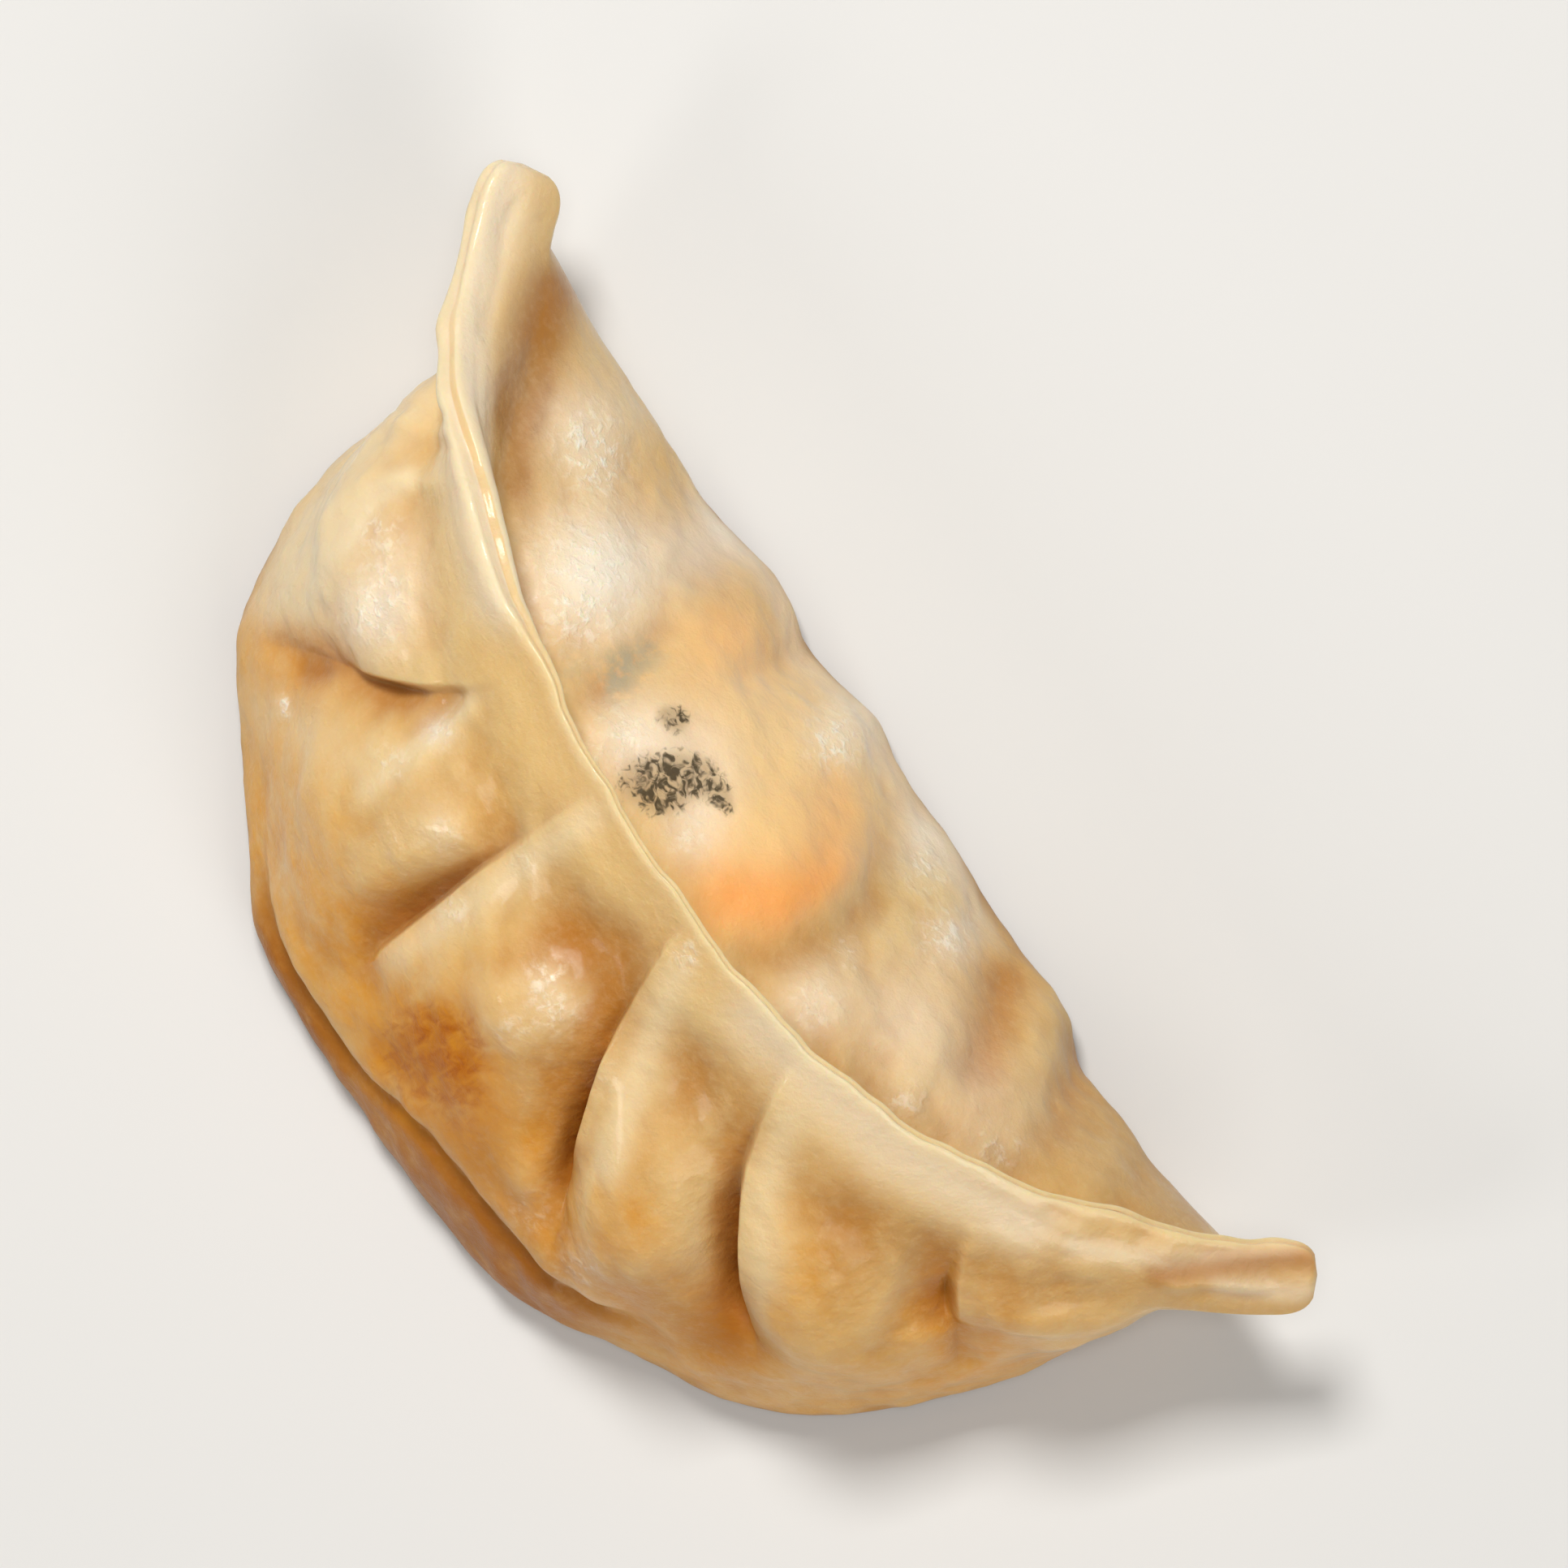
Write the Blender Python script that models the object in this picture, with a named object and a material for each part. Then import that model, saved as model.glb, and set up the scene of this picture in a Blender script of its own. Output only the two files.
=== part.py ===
"""One pan-fried seafood gyoza, a closed solid resting on its flat seared base.

Run with: blender --background --python part.py

X runs from tip to tip, -Y is the pleated front, +Y the smooth back and +Z is up. The sizes below are in
millimetres, and the mesh is made in metres. A section is a closed curve of (forward, up) points that stands
across the root line, along which the two layers of dough are pinched together. Above the root stands the
sealing flange, and below it hangs the filled body.
"""

import bpy
import numpy as np

METRES = 0.001

# The root line, seen from above: a crescent whose ends sweep back.
ROOT_MIDDLE_Y = -19.8
ROOT_SWEEP = 20.0
ROOT_SPAN = 39.0
ROOT_POWER = 2.8

# How far the body reaches in front of and behind the root line.
FRONT_REACH = 17.8
FRONT_SPAN_LEFT = 32.6
FRONT_SPAN_RIGHT = 33.9
FRONT_POWER = 2.6
BACK_REACH = 17.0
BACK_SPAN = 38.0
BACK_POWER = 3.0
BACK_FULLNESS = 0.75

# Slight corners and flats of the front outline: place along the root, width and height.
OUTLINE_CORNERS = ((-22.5, 3.0, 0.4), (-16.0, 4.2, -1.1), (-10.2, 2.4, 0.4), (-1.0, 6.0, -0.3),
                   (11.3, 2.6, 0.3), (15.0, 3.0, -0.7), (22.0, 4.0, 0.5))

# Heights of the root line and of the underside, which lifts off the plate towards the tips.
ROOT_HEIGHT = 21.5
ROOT_DROP = 10.8
ROOT_DROP_POWER = 2.2
KEEL_START = 23.0
KEEL_SPAN = 16.0
KEEL_RISE = 9.9
KEEL_POWER = 1.7

# The sealing flange, two layers of dough pressed together. Each pair is where a change starts and its span.
FLANGE_HEIGHT = 5.4
FLANGE_END_HEIGHT = 4.2
FLANGE_SHORTENS = (22.0, 16.0)
FLANGE_WAVE = 0.15
FLANGE_WAVE_PITCH = 7.9
FLANGE_HALF = 1.15
FLANGE_EDGE_HALF = 0.9
LEFT_THICKER = 0.75
LEFT_THICKENS = (16.0, 18.0)
RIGHT_THICKER = 0.35
RIGHT_THICKENS = (31.0, 7.0)
LEAN_DEG = 42.0
LEFT_UNLEAN = 1.2
LEFT_UNLEANS = (4.0, 30.0)
RIGHT_LEAN_DEG = 9.0
RIGHT_LEANS = (2.0, 14.0)
LIP_ROUND = 0.3
LIP_GROOVE = 0.45
LIP_PLACE = 0.45

# The rounded ends of the two tongues.
TONGUE_CAP_START = 38.0
TONGUE_END = 39.7
TONGUE_CENTRE = 0.45

# The flange's outline: (share of its height, share of the way from its edge's thickness to its root's).
FLANGE_FACE = ((0.98, 0.0), (0.68, 0.0), (0.33, 1.0))

# The body's outline on each side of the root: (share of the reach, share of the height over the underside).
FRONT_FACE = ((0.05, 0.975), (0.19, 0.92), (0.40, 0.80), (0.62, 0.63), (0.81, 0.43), (0.94, 0.24),
              (1.0, 0.12), (1.0, 0.035), (0.97, 0.0))
BACK_FACE = ((0.06, 0.945), (0.20, 0.895), (0.42, 0.78), (0.64, 0.61), (0.83, 0.41), (0.95, 0.23),
             (1.0, 0.12), (0.995, 0.035), (0.965, 0.0))
BASE_SHARES = (0.9, 0.5)

# Pleats: where each lip crosses the root, how far it slants by its lower end, the side that its covering
# panel lies on (-1 left, 1 right), its height, and where it starts and ends below the crest's edge.
PLEATS = (
    {"root": -16.0, "slant": -4.6, "cover": -1, "height": 2.6, "start": 6.0, "end": 20.5},
    {"root": -8.0, "slant": 1.4, "cover": 1, "height": 2.5, "start": 0.0, "end": 26.5},
    {"root": 1.5, "slant": 9.4, "cover": 1, "height": 2.7, "start": 0.0, "end": 23.0},
    {"root": 11.8, "slant": 8.6, "cover": 1, "height": 2.6, "start": 0.0, "end": 23.5},
    {"root": 24.8, "slant": 3.4, "cover": 1, "height": 2.1, "start": 3.5, "end": 18.0},
)
STILL_ENDS = (-31.0, 33.0)
PLEAT_FLANGE_SHARE = 0.2
PLEAT_GROWS = (5.0, 12.5)
PLEAT_SLANTS = (3.0, 22.0)
PLEAT_STARTS = 1.5
PLEAT_FADE = 7.5
COVER_WIDTH = 6.5
COVER_SHARE = 0.4
VALLEY_WIDTH = 5.5
VALLEY_POWER = 1.5
LIP_SOFTNESS = 0.3
LIP_OVERHANG = 0.35
LIP_WIDTH = 0.8

# Between two pleats the dough puffs out.
PUFF = 1.9
PUFF_SINK = 0.45
PUFF_GROWS = (6.0, 9.0)
PUFF_FADES = (19.0, 9.0)

# Soft bumps and dents, seen from above: x, y, radius and height, on the front face and on the back face.
FRONT_LUMPS = ((-24.5, -19.8, 4.6, 0.9), (-0.5, -26.5, 4.6, 0.7), (-13.0, -25.0, 3.4, 0.5),
               (14.0, -31.0, 4.5, 0.7), (19.0, -21.5, 4.0, 0.6), (-20.0, -30.5, 5.0, 0.5),
               (-1.0, -21.5, 3.0, -0.4), (9.0, -21.0, 3.0, -0.3))
BACK_LUMPS = ((-18.5, -9.5, 4.4, 1.2), (-7.5, -9.5, 6.0, 1.3), (1.5, -10.5, 4.2, 1.3), (9.5, -8.5, 3.2, 0.7),
              (14.5, -5.5, 2.6, -0.9), (19.0, -7.5, 3.6, 0.8), (23.5, -5.5, 2.4, -0.8),
              (-26.5, -5.5, 4.0, 0.5), (6.0, -8.0, 1.6, -0.7), (-12.5, -4.0, 2.6, 0.5),
              (28.0, -5.0, 3.0, 0.4))
BACK_RIPPLE = 0.45
BACK_RIPPLE_PITCH = 9.75
BACK_RIPPLE_SHIFT = 2.5
BACK_RIPPLE_GROWS = (14.0, 10.0)

# The crease above the seared rim of the front, with a soft ledge over it.
RIM_CREASE = 0.7
RIM_WIDTH = 0.9
RIM_DOWN_LEFT = 30.6
RIM_DOWN_RIGHT = 28.9
RIM_CLIMBS = (-5.0, 9.0)
RIM_STARTS = (-13.0, 4.0)
RIM_ENDS = (-15.5, 3.0)
RIM_LEDGE = 0.45
RIM_LEDGE_UP = 2.0
RIM_LEDGE_WIDTH = 1.5

# The relief stops where the base meets the plate and towards the tongues.
RELIEF_OFF_PLATE = 3.0
RELIEF_END = 36.5
RELIEF_FADE = 6.5
RIM_SETTLES = (32.0, 6.0)

# Mesh density, and the middle of the outline seen from above, which becomes the origin.
COLUMNS = 116
ROWS = 42
CENTRE_X = -0.366
CENTRE_Y = -18.03

DOUGH_COLOUR = (0.71, 0.49, 0.24, 1.0)
DOUGH_ROUGHNESS = 0.35


def ramp(value, start, span):
    """0 up to start, 1 from start + span, and a smooth rise between."""
    share = np.clip((value - start) / span, 0.0, 1.0)
    return share * share * (3.0 - 2.0 * share)


def before_caps(x):
    """x held at the start of the tongues' rounded ends, where the section stops changing and only shrinks."""
    return np.clip(x, -TONGUE_CAP_START, TONGUE_CAP_START)


def root_line(x):
    """The root line's y and slope at x: a power curve each side of the middle, straight in the ends."""
    held = before_caps(x)
    share = np.abs(held) / ROOT_SPAN
    slope = np.sign(x) * ROOT_SWEEP * ROOT_POWER / ROOT_SPAN * share ** (ROOT_POWER - 1.0)
    y = ROOT_MIDDLE_Y + ROOT_SWEEP * share ** ROOT_POWER + slope * (x - held)
    return y, slope


def body_reach(x):
    """How far the body reaches forward and back of the root at x."""
    span = np.where(x < 0.0, FRONT_SPAN_LEFT, FRONT_SPAN_RIGHT)
    front = FRONT_REACH * np.clip(1.0 - (np.abs(x) / span) ** FRONT_POWER, 0.0, None)
    for place, width, height in OUTLINE_CORNERS:
        front = front + height * np.exp(-((x - place) / width) ** 2)
    back = BACK_REACH * np.clip(1.0 - (np.abs(x) / BACK_SPAN) ** BACK_POWER, 0.0, None) ** BACK_FULLNESS
    return front, back


def heights(x):
    """The height of the root and of the underside at x."""
    root = ROOT_HEIGHT - ROOT_DROP * (np.abs(x) / ROOT_SPAN) ** ROOT_DROP_POWER
    keel = KEEL_RISE * np.clip((np.abs(x) - KEEL_START) / KEEL_SPAN, 0.0, None) ** KEEL_POWER
    return root, keel


def flange_shape(x):
    """The flange at x: its height, its lean back in radians and how much the tongues thicken it."""
    height = FLANGE_HEIGHT + (FLANGE_END_HEIGHT - FLANGE_HEIGHT) * ramp(np.abs(x), *FLANGE_SHORTENS)
    height = height + FLANGE_WAVE * np.cos(2.0 * np.pi * x / FLANGE_WAVE_PITCH)
    lean = LEAN_DEG * (1.0 - LEFT_UNLEAN * ramp(-x, *LEFT_UNLEANS)) + RIGHT_LEAN_DEG * ramp(x, *RIGHT_LEANS)
    thicker = LEFT_THICKER * ramp(-x, *LEFT_THICKENS) + RIGHT_THICKER * ramp(x, *RIGHT_THICKENS)
    return height, np.radians(lean), thicker


def section_controls(x):
    """The control points of the section at x, as (forward, up) arrays: the groove between the lips, down the
    front of the flange and the body, across the base, and up the back to the other lip."""
    held = before_caps(x)
    root_up, keel_up = heights(held)
    front, back = body_reach(held)
    flange, lean, thicker = flange_shape(held)
    half, edge_half = FLANGE_HALF + thicker, FLANGE_EDGE_HALF + thicker

    def on_flange(along, across):
        return (-np.sin(lean) * along + np.cos(lean) * across,
                root_up + np.cos(lean) * along + np.sin(lean) * across)

    def flange_side(side):
        return [on_flange(flange * up, side * (edge_half + (half - edge_half) * thick))
                for up, thick in FLANGE_FACE]

    def body_side(side, reach, face):
        outline = [(share, 0.0) for share in reversed(BASE_SHARES)] + list(reversed(face))
        return [(side * (half + reach * out), keel_up + (root_up - keel_up) * up) for out, up in outline]

    points = [on_flange(flange - LIP_GROOVE, 0.0 * x), on_flange(flange + LIP_ROUND, LIP_PLACE * edge_half)]
    points += flange_side(1.0) + body_side(1.0, front, FRONT_FACE)[::-1]
    points += [(0.0 * x, keel_up)]
    points += body_side(-1.0, back, BACK_FACE) + flange_side(-1.0)[::-1]
    points += [on_flange(flange + LIP_ROUND, -LIP_PLACE * edge_half)]
    forward = np.array([point[0] for point in points])
    up = np.array([point[1] for point in points])
    centre_forward, centre_up = on_flange(flange * TONGUE_CENTRE, 0.0 * x)
    past = np.clip((np.abs(x) - TONGUE_CAP_START) / (TONGUE_END - TONGUE_CAP_START), 0.0, 1.0)
    cap = np.sqrt(1.0 - past ** 2)
    return centre_forward + cap * (forward - centre_forward), centre_up + cap * (up - centre_up)


CONTROL_COUNT = len(section_controls(np.zeros(1))[0])
FRONT_LIP = 1
BASE_MIDDLE = 2 + len(FLANGE_FACE) + len(FRONT_FACE) + len(BASE_SHARES)
BACK_LIP = CONTROL_COUNT - 1


def spline_weights(v):
    """The weight of each control point at each v, for a closed uniform cubic B-spline."""
    distance = (v[None, :] - np.arange(CONTROL_COUNT)[:, None] + CONTROL_COUNT / 2.0) % CONTROL_COUNT
    distance = np.abs(distance - CONTROL_COUNT / 2.0)
    near = 2.0 / 3.0 - distance ** 2 + distance ** 3 / 2.0
    far = np.clip(2.0 - distance, 0.0, None) ** 3 / 6.0
    return np.where(distance < 1.0, near, far)


def smooth_surface(x, v):
    """The unpleated surface at a grid of x and a row of v: the section's point at v, across the root line."""
    weights = spline_weights(v)
    forward, up = section_controls(x)
    forward = np.einsum("kv,kcv->cv", weights, forward)
    up = np.einsum("kv,kcv->cv", weights, up)
    root_y, slope = root_line(x)
    length = np.sqrt(1.0 + slope ** 2)
    return np.stack([x + forward * slope / length, root_y - forward / length, up], axis=-1)


def down_from_lips(v):
    """How far each v lies below the front lip and below the back lip, measured along the middle section."""
    steps = np.linspace(0.0, CONTROL_COUNT, 2000)
    middle = smooth_surface(np.zeros((1, len(steps))), steps)[0]
    walked = np.concatenate([[0.0], np.cumsum(np.linalg.norm(np.diff(middle, axis=0), axis=1))])
    at = np.interp(v, steps, walked)
    return at - np.interp(FRONT_LIP, steps, walked), np.interp(BACK_LIP, steps, walked) - at


def spread(low, high, count, density):
    """count places from low to high, closer together where density is greater."""
    fine = np.linspace(low, high, 4000)
    weight = density(fine)
    share = np.concatenate([[0.0], np.cumsum((weight[1:] + weight[:-1]) / 2.0)])
    return np.interp(np.linspace(0.0, share[-1], count), share, fine)


def column_density(x):
    """More columns at the pleats' lips and at the tongues."""
    lips = sum(np.exp(-((x - pleat["root"]) / 0.8) ** 2) for pleat in PLEATS)
    return 1.0 + 4.0 * lips + 2.5 * ramp(np.abs(x), 36.0, 3.0)


def row_density(v):
    """Fewer rows under the base than on the faces."""
    return 1.0 - 0.75 * np.exp(-((v - BASE_MIDDLE) / 2.2) ** 2)


def pleat_slant(pleat, down):
    """How far the pleat's lip has moved along the root by this distance below the crest."""
    return pleat["slant"] * ramp(down, *PLEAT_SLANTS)


def slanted_columns(places, down):
    """The x of each column at each row, so that the columns run along the pleats' lips."""
    still = 0.0 * down
    settle = 1.0 - ramp(down, *RIM_SETTLES)
    ends = [-TONGUE_END, STILL_ENDS[0], *[pleat["root"] for pleat in PLEATS], STILL_ENDS[1], TONGUE_END]
    slants = [still, still, *[pleat_slant(pleat, down) * settle for pleat in PLEATS], still, still]
    before = np.clip(np.searchsorted(ends, places, side="right") - 1, 0, len(ends) - 2)
    low, high = np.array(ends)[before], np.array(ends)[before + 1]
    share = ((places - low) / (high - low))[:, None]
    moved = np.array(slants)
    return places[:, None] + moved[before] * (1.0 - share) + moved[before + 1] * share


def pleat_height(pleat, down):
    """The pleat's height this far below the crest: low on the flange, full on the face, then fading."""
    grow = PLEAT_FLANGE_SHARE + (1.0 - PLEAT_FLANGE_SHARE) * ramp(down, *PLEAT_GROWS)
    start = ramp(down, pleat["start"] - PLEAT_STARTS, PLEAT_STARTS)
    fade = 1.0 - ramp(down, pleat["end"] - PLEAT_FADE, PLEAT_FADE)
    return pleat["height"] * grow * start * fade


def pleat_relief(x, down):
    """The pleats' rise off the smooth surface and their slide along it. Each panel climbs to a lip that
    overhangs a valley in the panel that it covers."""
    rise, slide = np.zeros_like(x), np.zeros_like(x)
    for pleat in PLEATS:
        height = pleat_height(pleat, down)
        past = -(x - pleat["root"] - pleat_slant(pleat, down)) * pleat["cover"]
        covered = ramp(past, -LIP_SOFTNESS, 2.0 * LIP_SOFTNESS)
        panel = COVER_SHARE * (1.0 - ramp(-past, 0.0, COVER_WIDTH))
        valley = (1.0 - COVER_SHARE) * (1.0 - ramp(past, 0.0, VALLEY_WIDTH)) ** VALLEY_POWER
        rise += height * ((1.0 - covered) * panel - covered * valley)
        lip = np.exp(-((past + LIP_SOFTNESS) / LIP_WIDTH) ** 2)
        slide -= pleat["cover"] * LIP_OVERHANG * np.minimum(height, 1.0) * lip
    return rise, slide


def panel_puff(places, down):
    """How far each panel puffs out, fullest half way between the pleats beside it."""
    ends = np.array([-ROOT_SPAN, *[pleat["root"] for pleat in PLEATS], ROOT_SPAN])
    panel = np.clip(np.searchsorted(ends, places, side="right") - 1, 0, len(ends) - 2)
    share = np.clip((places - ends[panel]) / (ends[panel + 1] - ends[panel]), 0.0, 1.0)
    arch = 4.0 * share * (1.0 - share)
    return PUFF * (arch[:, None] - PUFF_SINK) * ramp(down, *PUFF_GROWS) * (1.0 - ramp(down, *PUFF_FADES))


def lump_relief(points, lumps):
    """The sum of round bumps placed as seen from above."""
    rise = np.zeros(points.shape[:-1])
    for x, y, radius, height in lumps:
        away = ((points[..., 0] - x) ** 2 + (points[..., 1] - y) ** 2) / radius ** 2
        rise += height * np.exp(-away)
    return rise


def rim_relief(x, down):
    """The crease above the seared rim along the middle of the front, climbing to the right."""
    along = ramp(x, *RIM_STARTS) * ramp(-x, *RIM_ENDS)
    centre = RIM_DOWN_LEFT + (RIM_DOWN_RIGHT - RIM_DOWN_LEFT) * ramp(x, *RIM_CLIMBS)
    crease = np.exp(-((down - centre) / RIM_WIDTH) ** 2)
    ledge = np.exp(-((down - centre + RIM_LEDGE_UP) / RIM_LEDGE_WIDTH) ** 2)
    return along * RIM_CREASE * (RIM_LEDGE * ledge - crease)


def back_ripple(x, down):
    """Soft upright waves along the foot of the back face."""
    wave = np.cos(2.0 * np.pi * (x + BACK_RIPPLE_SHIFT) / BACK_RIPPLE_PITCH)
    return BACK_RIPPLE * wave * ramp(down, *BACK_RIPPLE_GROWS)


def unit(vectors):
    """The vectors at length 1."""
    return vectors / np.maximum(np.linalg.norm(vectors, axis=-1, keepdims=True), 1e-9)


def gyoza_surface(places, v):
    """The finished surface in millimetres, a grid of columns by rows, before it is moved to the origin."""
    front_down, back_down = down_from_lips(v)
    is_front = (v > FRONT_LIP) & (v < BASE_MIDDLE)
    is_back = (v > BASE_MIDDLE) & (v < BACK_LIP)
    x = slanted_columns(places, np.where(is_front, front_down, 0.0))
    points = smooth_surface(x, v)
    along = np.gradient(points, axis=0)
    across = np.gradient(points, axis=1)
    across[:, 0] = across[:, -1] = points[:, 1] - points[:, -1]
    pleats, slide = pleat_relief(x, front_down)
    front_rise = pleats + panel_puff(places, front_down) + rim_relief(x, front_down)
    front_rise = front_rise + lump_relief(points, FRONT_LUMPS)
    back_rise = back_ripple(x, back_down) + lump_relief(points, BACK_LUMPS)
    rise = np.where(is_front, front_rise, np.where(is_back, back_rise, 0.0))
    slide = np.where(is_front, slide, 0.0)
    share = ramp(points[..., 2], 0.0, RELIEF_OFF_PLATE) * ramp(-np.abs(x), -RELIEF_END, RELIEF_FADE)
    points = points + unit(np.cross(across, along)) * (rise * share)[..., None]
    return points + unit(along) * (slide * share)[..., None]


def gyoza_mesh(name, columns, rows):
    """A closed mesh of the surface: the grid of quads, with one vertex at each tip."""
    places = spread(-TONGUE_END, TONGUE_END, columns + 2, column_density)
    v = spread(0.0, CONTROL_COUNT, rows + 1, row_density)[:-1]
    points = gyoza_surface(places, v) - np.array([CENTRE_X, CENTRE_Y, 0.0])
    tips = points[[0, -1]].mean(axis=1)
    vertices = np.concatenate([points[1:-1].reshape(-1, 3), tips]) * METRES
    column, row = np.meshgrid(np.arange(columns - 1), np.arange(rows), indexing="ij")
    this, following = column * rows, (column + 1) * rows
    after = (row + 1) % rows
    quads = np.stack([this + row, this + after, following + after, following + row], axis=-1).reshape(-1, 4)
    ring = np.arange(rows)
    next_ring = (ring + 1) % rows
    last = (columns - 1) * rows
    left_tip = np.full(rows, columns * rows)
    left_fan = np.stack([left_tip, next_ring, ring], axis=-1)
    right_fan = np.stack([left_tip + 1, last + ring, last + next_ring], axis=-1)
    mesh = bpy.data.meshes.new(name)
    mesh.from_pydata(vertices.tolist(), [], quads.tolist() + left_fan.tolist() + right_fan.tolist())
    mesh.update()
    mesh.shade_smooth()
    return mesh


def dough_material():
    """Cooked wheat dough, glossy with oil."""
    material = bpy.data.materials.new("dough")
    material.use_nodes = True
    shader = material.node_tree.nodes["Principled BSDF"]
    shader.inputs["Base Color"].default_value = DOUGH_COLOUR
    shader.inputs["Roughness"].default_value = DOUGH_ROUGHNESS
    shader.inputs["Metallic"].default_value = 0.0
    return material


def main():
    for old in list(bpy.data.objects):
        bpy.data.objects.remove(old)
    gyoza = bpy.data.objects.new("gyoza", gyoza_mesh("gyoza", COLUMNS, ROWS))
    gyoza.data.materials.append(dough_material())
    bpy.context.scene.collection.objects.link(gyoza)


main()
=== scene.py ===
"""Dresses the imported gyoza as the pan-fried dumpling of the photograph."""

import math

import bpy
import numpy as np
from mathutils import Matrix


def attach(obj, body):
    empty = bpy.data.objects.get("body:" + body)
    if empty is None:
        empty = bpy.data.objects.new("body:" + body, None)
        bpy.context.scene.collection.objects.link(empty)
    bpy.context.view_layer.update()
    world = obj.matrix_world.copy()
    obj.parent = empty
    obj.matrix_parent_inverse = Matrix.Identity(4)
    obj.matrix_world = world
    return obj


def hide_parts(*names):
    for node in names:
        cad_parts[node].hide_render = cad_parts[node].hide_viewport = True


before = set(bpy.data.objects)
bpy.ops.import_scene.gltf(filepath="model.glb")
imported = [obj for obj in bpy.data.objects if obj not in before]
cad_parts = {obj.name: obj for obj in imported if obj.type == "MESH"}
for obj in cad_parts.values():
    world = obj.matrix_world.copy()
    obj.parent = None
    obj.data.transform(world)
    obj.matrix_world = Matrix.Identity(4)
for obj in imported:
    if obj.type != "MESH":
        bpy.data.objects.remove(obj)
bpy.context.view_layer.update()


# The picture
# A camera straight above, turned so that the gyoza lies across the frame from the upper left to the lower
# right, a pale table top under it, and soft studio light from the upper edge of the picture.

PICTURE_WIDTH = 0.090
CAMERA_HEIGHT = 0.90
LOOK_AT = (-0.0017, 0.0105, 0.010)
GYOZA_TURN = math.atan2(0.817, 0.577)
SENSOR_MM = 36.0

camera_data = bpy.data.cameras.new("camera")
camera_data.sensor_width = SENSOR_MM
camera_data.lens = SENSOR_MM * (CAMERA_HEIGHT - LOOK_AT[2]) / PICTURE_WIDTH
camera_data.clip_start = 0.02
camera_data.clip_end = 20.0
camera = bpy.data.objects.new("camera", camera_data)
camera.location = (LOOK_AT[0], LOOK_AT[1], CAMERA_HEIGHT)
camera.rotation_euler = (0.0, 0.0, GYOZA_TURN)
bpy.context.scene.collection.objects.link(camera)
bpy.context.scene.camera = camera


def softbox(name, across, up, away, size, watts, colour):
    """A square area light that faces the gyoza. across and up are degrees: where it stands round the gyoza,
    0 being the picture's upper edge, and how high it stands. away and size are metres."""
    light = bpy.data.lights.new(name, "AREA")
    light.shape = "SQUARE"
    light.size = size
    light.energy = watts
    light.color = colour
    lamp = bpy.data.objects.new(name, light)
    turn = GYOZA_TURN + math.radians(90.0 + across)
    rise = math.radians(up)
    lamp.location = (away * math.cos(rise) * math.cos(turn), away * math.cos(rise) * math.sin(turn),
                     away * math.sin(rise))
    lamp.rotation_euler = (math.radians(90.0 - up), 0.0, turn + math.radians(90.0))
    bpy.context.scene.collection.objects.link(lamp)
    return lamp


LAMP_WHITE = (1.0, 0.99, 0.97)
softbox("key_light", 15.0, 60.0, 0.75, 0.19, 4.25, LAMP_WHITE)
softbox("side_light", 118.0, 38.0, 0.9, 0.24, 1.15, LAMP_WHITE)
softbox("low_light", 215.0, 38.0, 0.9, 0.5, 2.8, (1.0, 0.98, 0.95))
softbox("overhead_light", 0.0, 89.0, 1.3, 0.22, 2.2, (1.0, 0.99, 0.98))

world = bpy.data.worlds.new("studio")
world.use_nodes = True
surroundings = world.node_tree.nodes["Background"]
surroundings.inputs["Color"].default_value = (1.0, 0.99, 0.975, 1.0)
surroundings.inputs["Strength"].default_value = 0.08
bpy.context.scene.world = world
bpy.context.scene.view_settings.view_transform = "Standard"
bpy.context.scene.view_settings.exposure = 0.0

TABLE_HALF = 1.2
table_mesh = bpy.data.meshes.new("table_top")
table_mesh.from_pydata(
    [(-TABLE_HALF, -TABLE_HALF, 0.0), (TABLE_HALF, -TABLE_HALF, 0.0),
     (TABLE_HALF, TABLE_HALF, 0.0), (-TABLE_HALF, TABLE_HALF, 0.0)], [], [(0, 1, 2, 3)])
table = bpy.data.objects.new("table_top", table_mesh)
bpy.context.scene.collection.objects.link(table)
table_paint = bpy.data.materials.new("pale_table")
table_paint.use_nodes = True
table_shader = table_paint.node_tree.nodes["Principled BSDF"]
table_shader.inputs["Base Color"].default_value = (0.72, 0.71, 0.69, 1.0)
table_shader.inputs["Roughness"].default_value = 0.6
table_mesh.materials.append(table_paint)


# The dough wrapper
# One round sheet of wheat dough, folded over the seafood filling, pleated along its front and pinched shut
# in a double flange with a tongue at each tip, then pan-fried flat on its base.

# Its form is worked out in millimetres. x runs from tip to tip along the root line, where the two layers
# are pinched together. A section is a closed curve of (forward, up) points that stands across the root.
MIDDLE_X = -0.366
MIDDLE_Y = -18.03
METRES = 0.001

ROOT_MIDDLE_Y = -19.8
ROOT_SWEEP = 20.0
ROOT_SPAN = 39.0
ROOT_POWER = 2.8
LEFT_TIP_DROP = 0.4
RIGHT_TIP_DROP = 0.8
TIP_DROPS = (31.0, 7.0)

FRONT_REACH = 17.8
FRONT_SPAN_LEFT = 32.6
FRONT_SPAN_RIGHT = 33.9
FRONT_POWER = 2.6
BACK_REACH = 17.0
BACK_SPAN = 38.0
BACK_POWER = 3.0
BACK_FULLNESS = 0.75
BACK_CORNERS = ((-35.0, 5.0, -2.3), (33.5, 4.5, -1.7))
OUTLINE_CORNERS = (
    (-31.0, 2.6, -0.9), (-22.5, 3.0, 0.4), (-16.0, 4.2, -1.1), (-10.2, 2.4, 0.4), (-1.0, 6.0, -0.3),
    (11.3, 2.6, 0.3), (15.0, 3.0, -0.7), (22.0, 4.0, 0.5),
)

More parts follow.
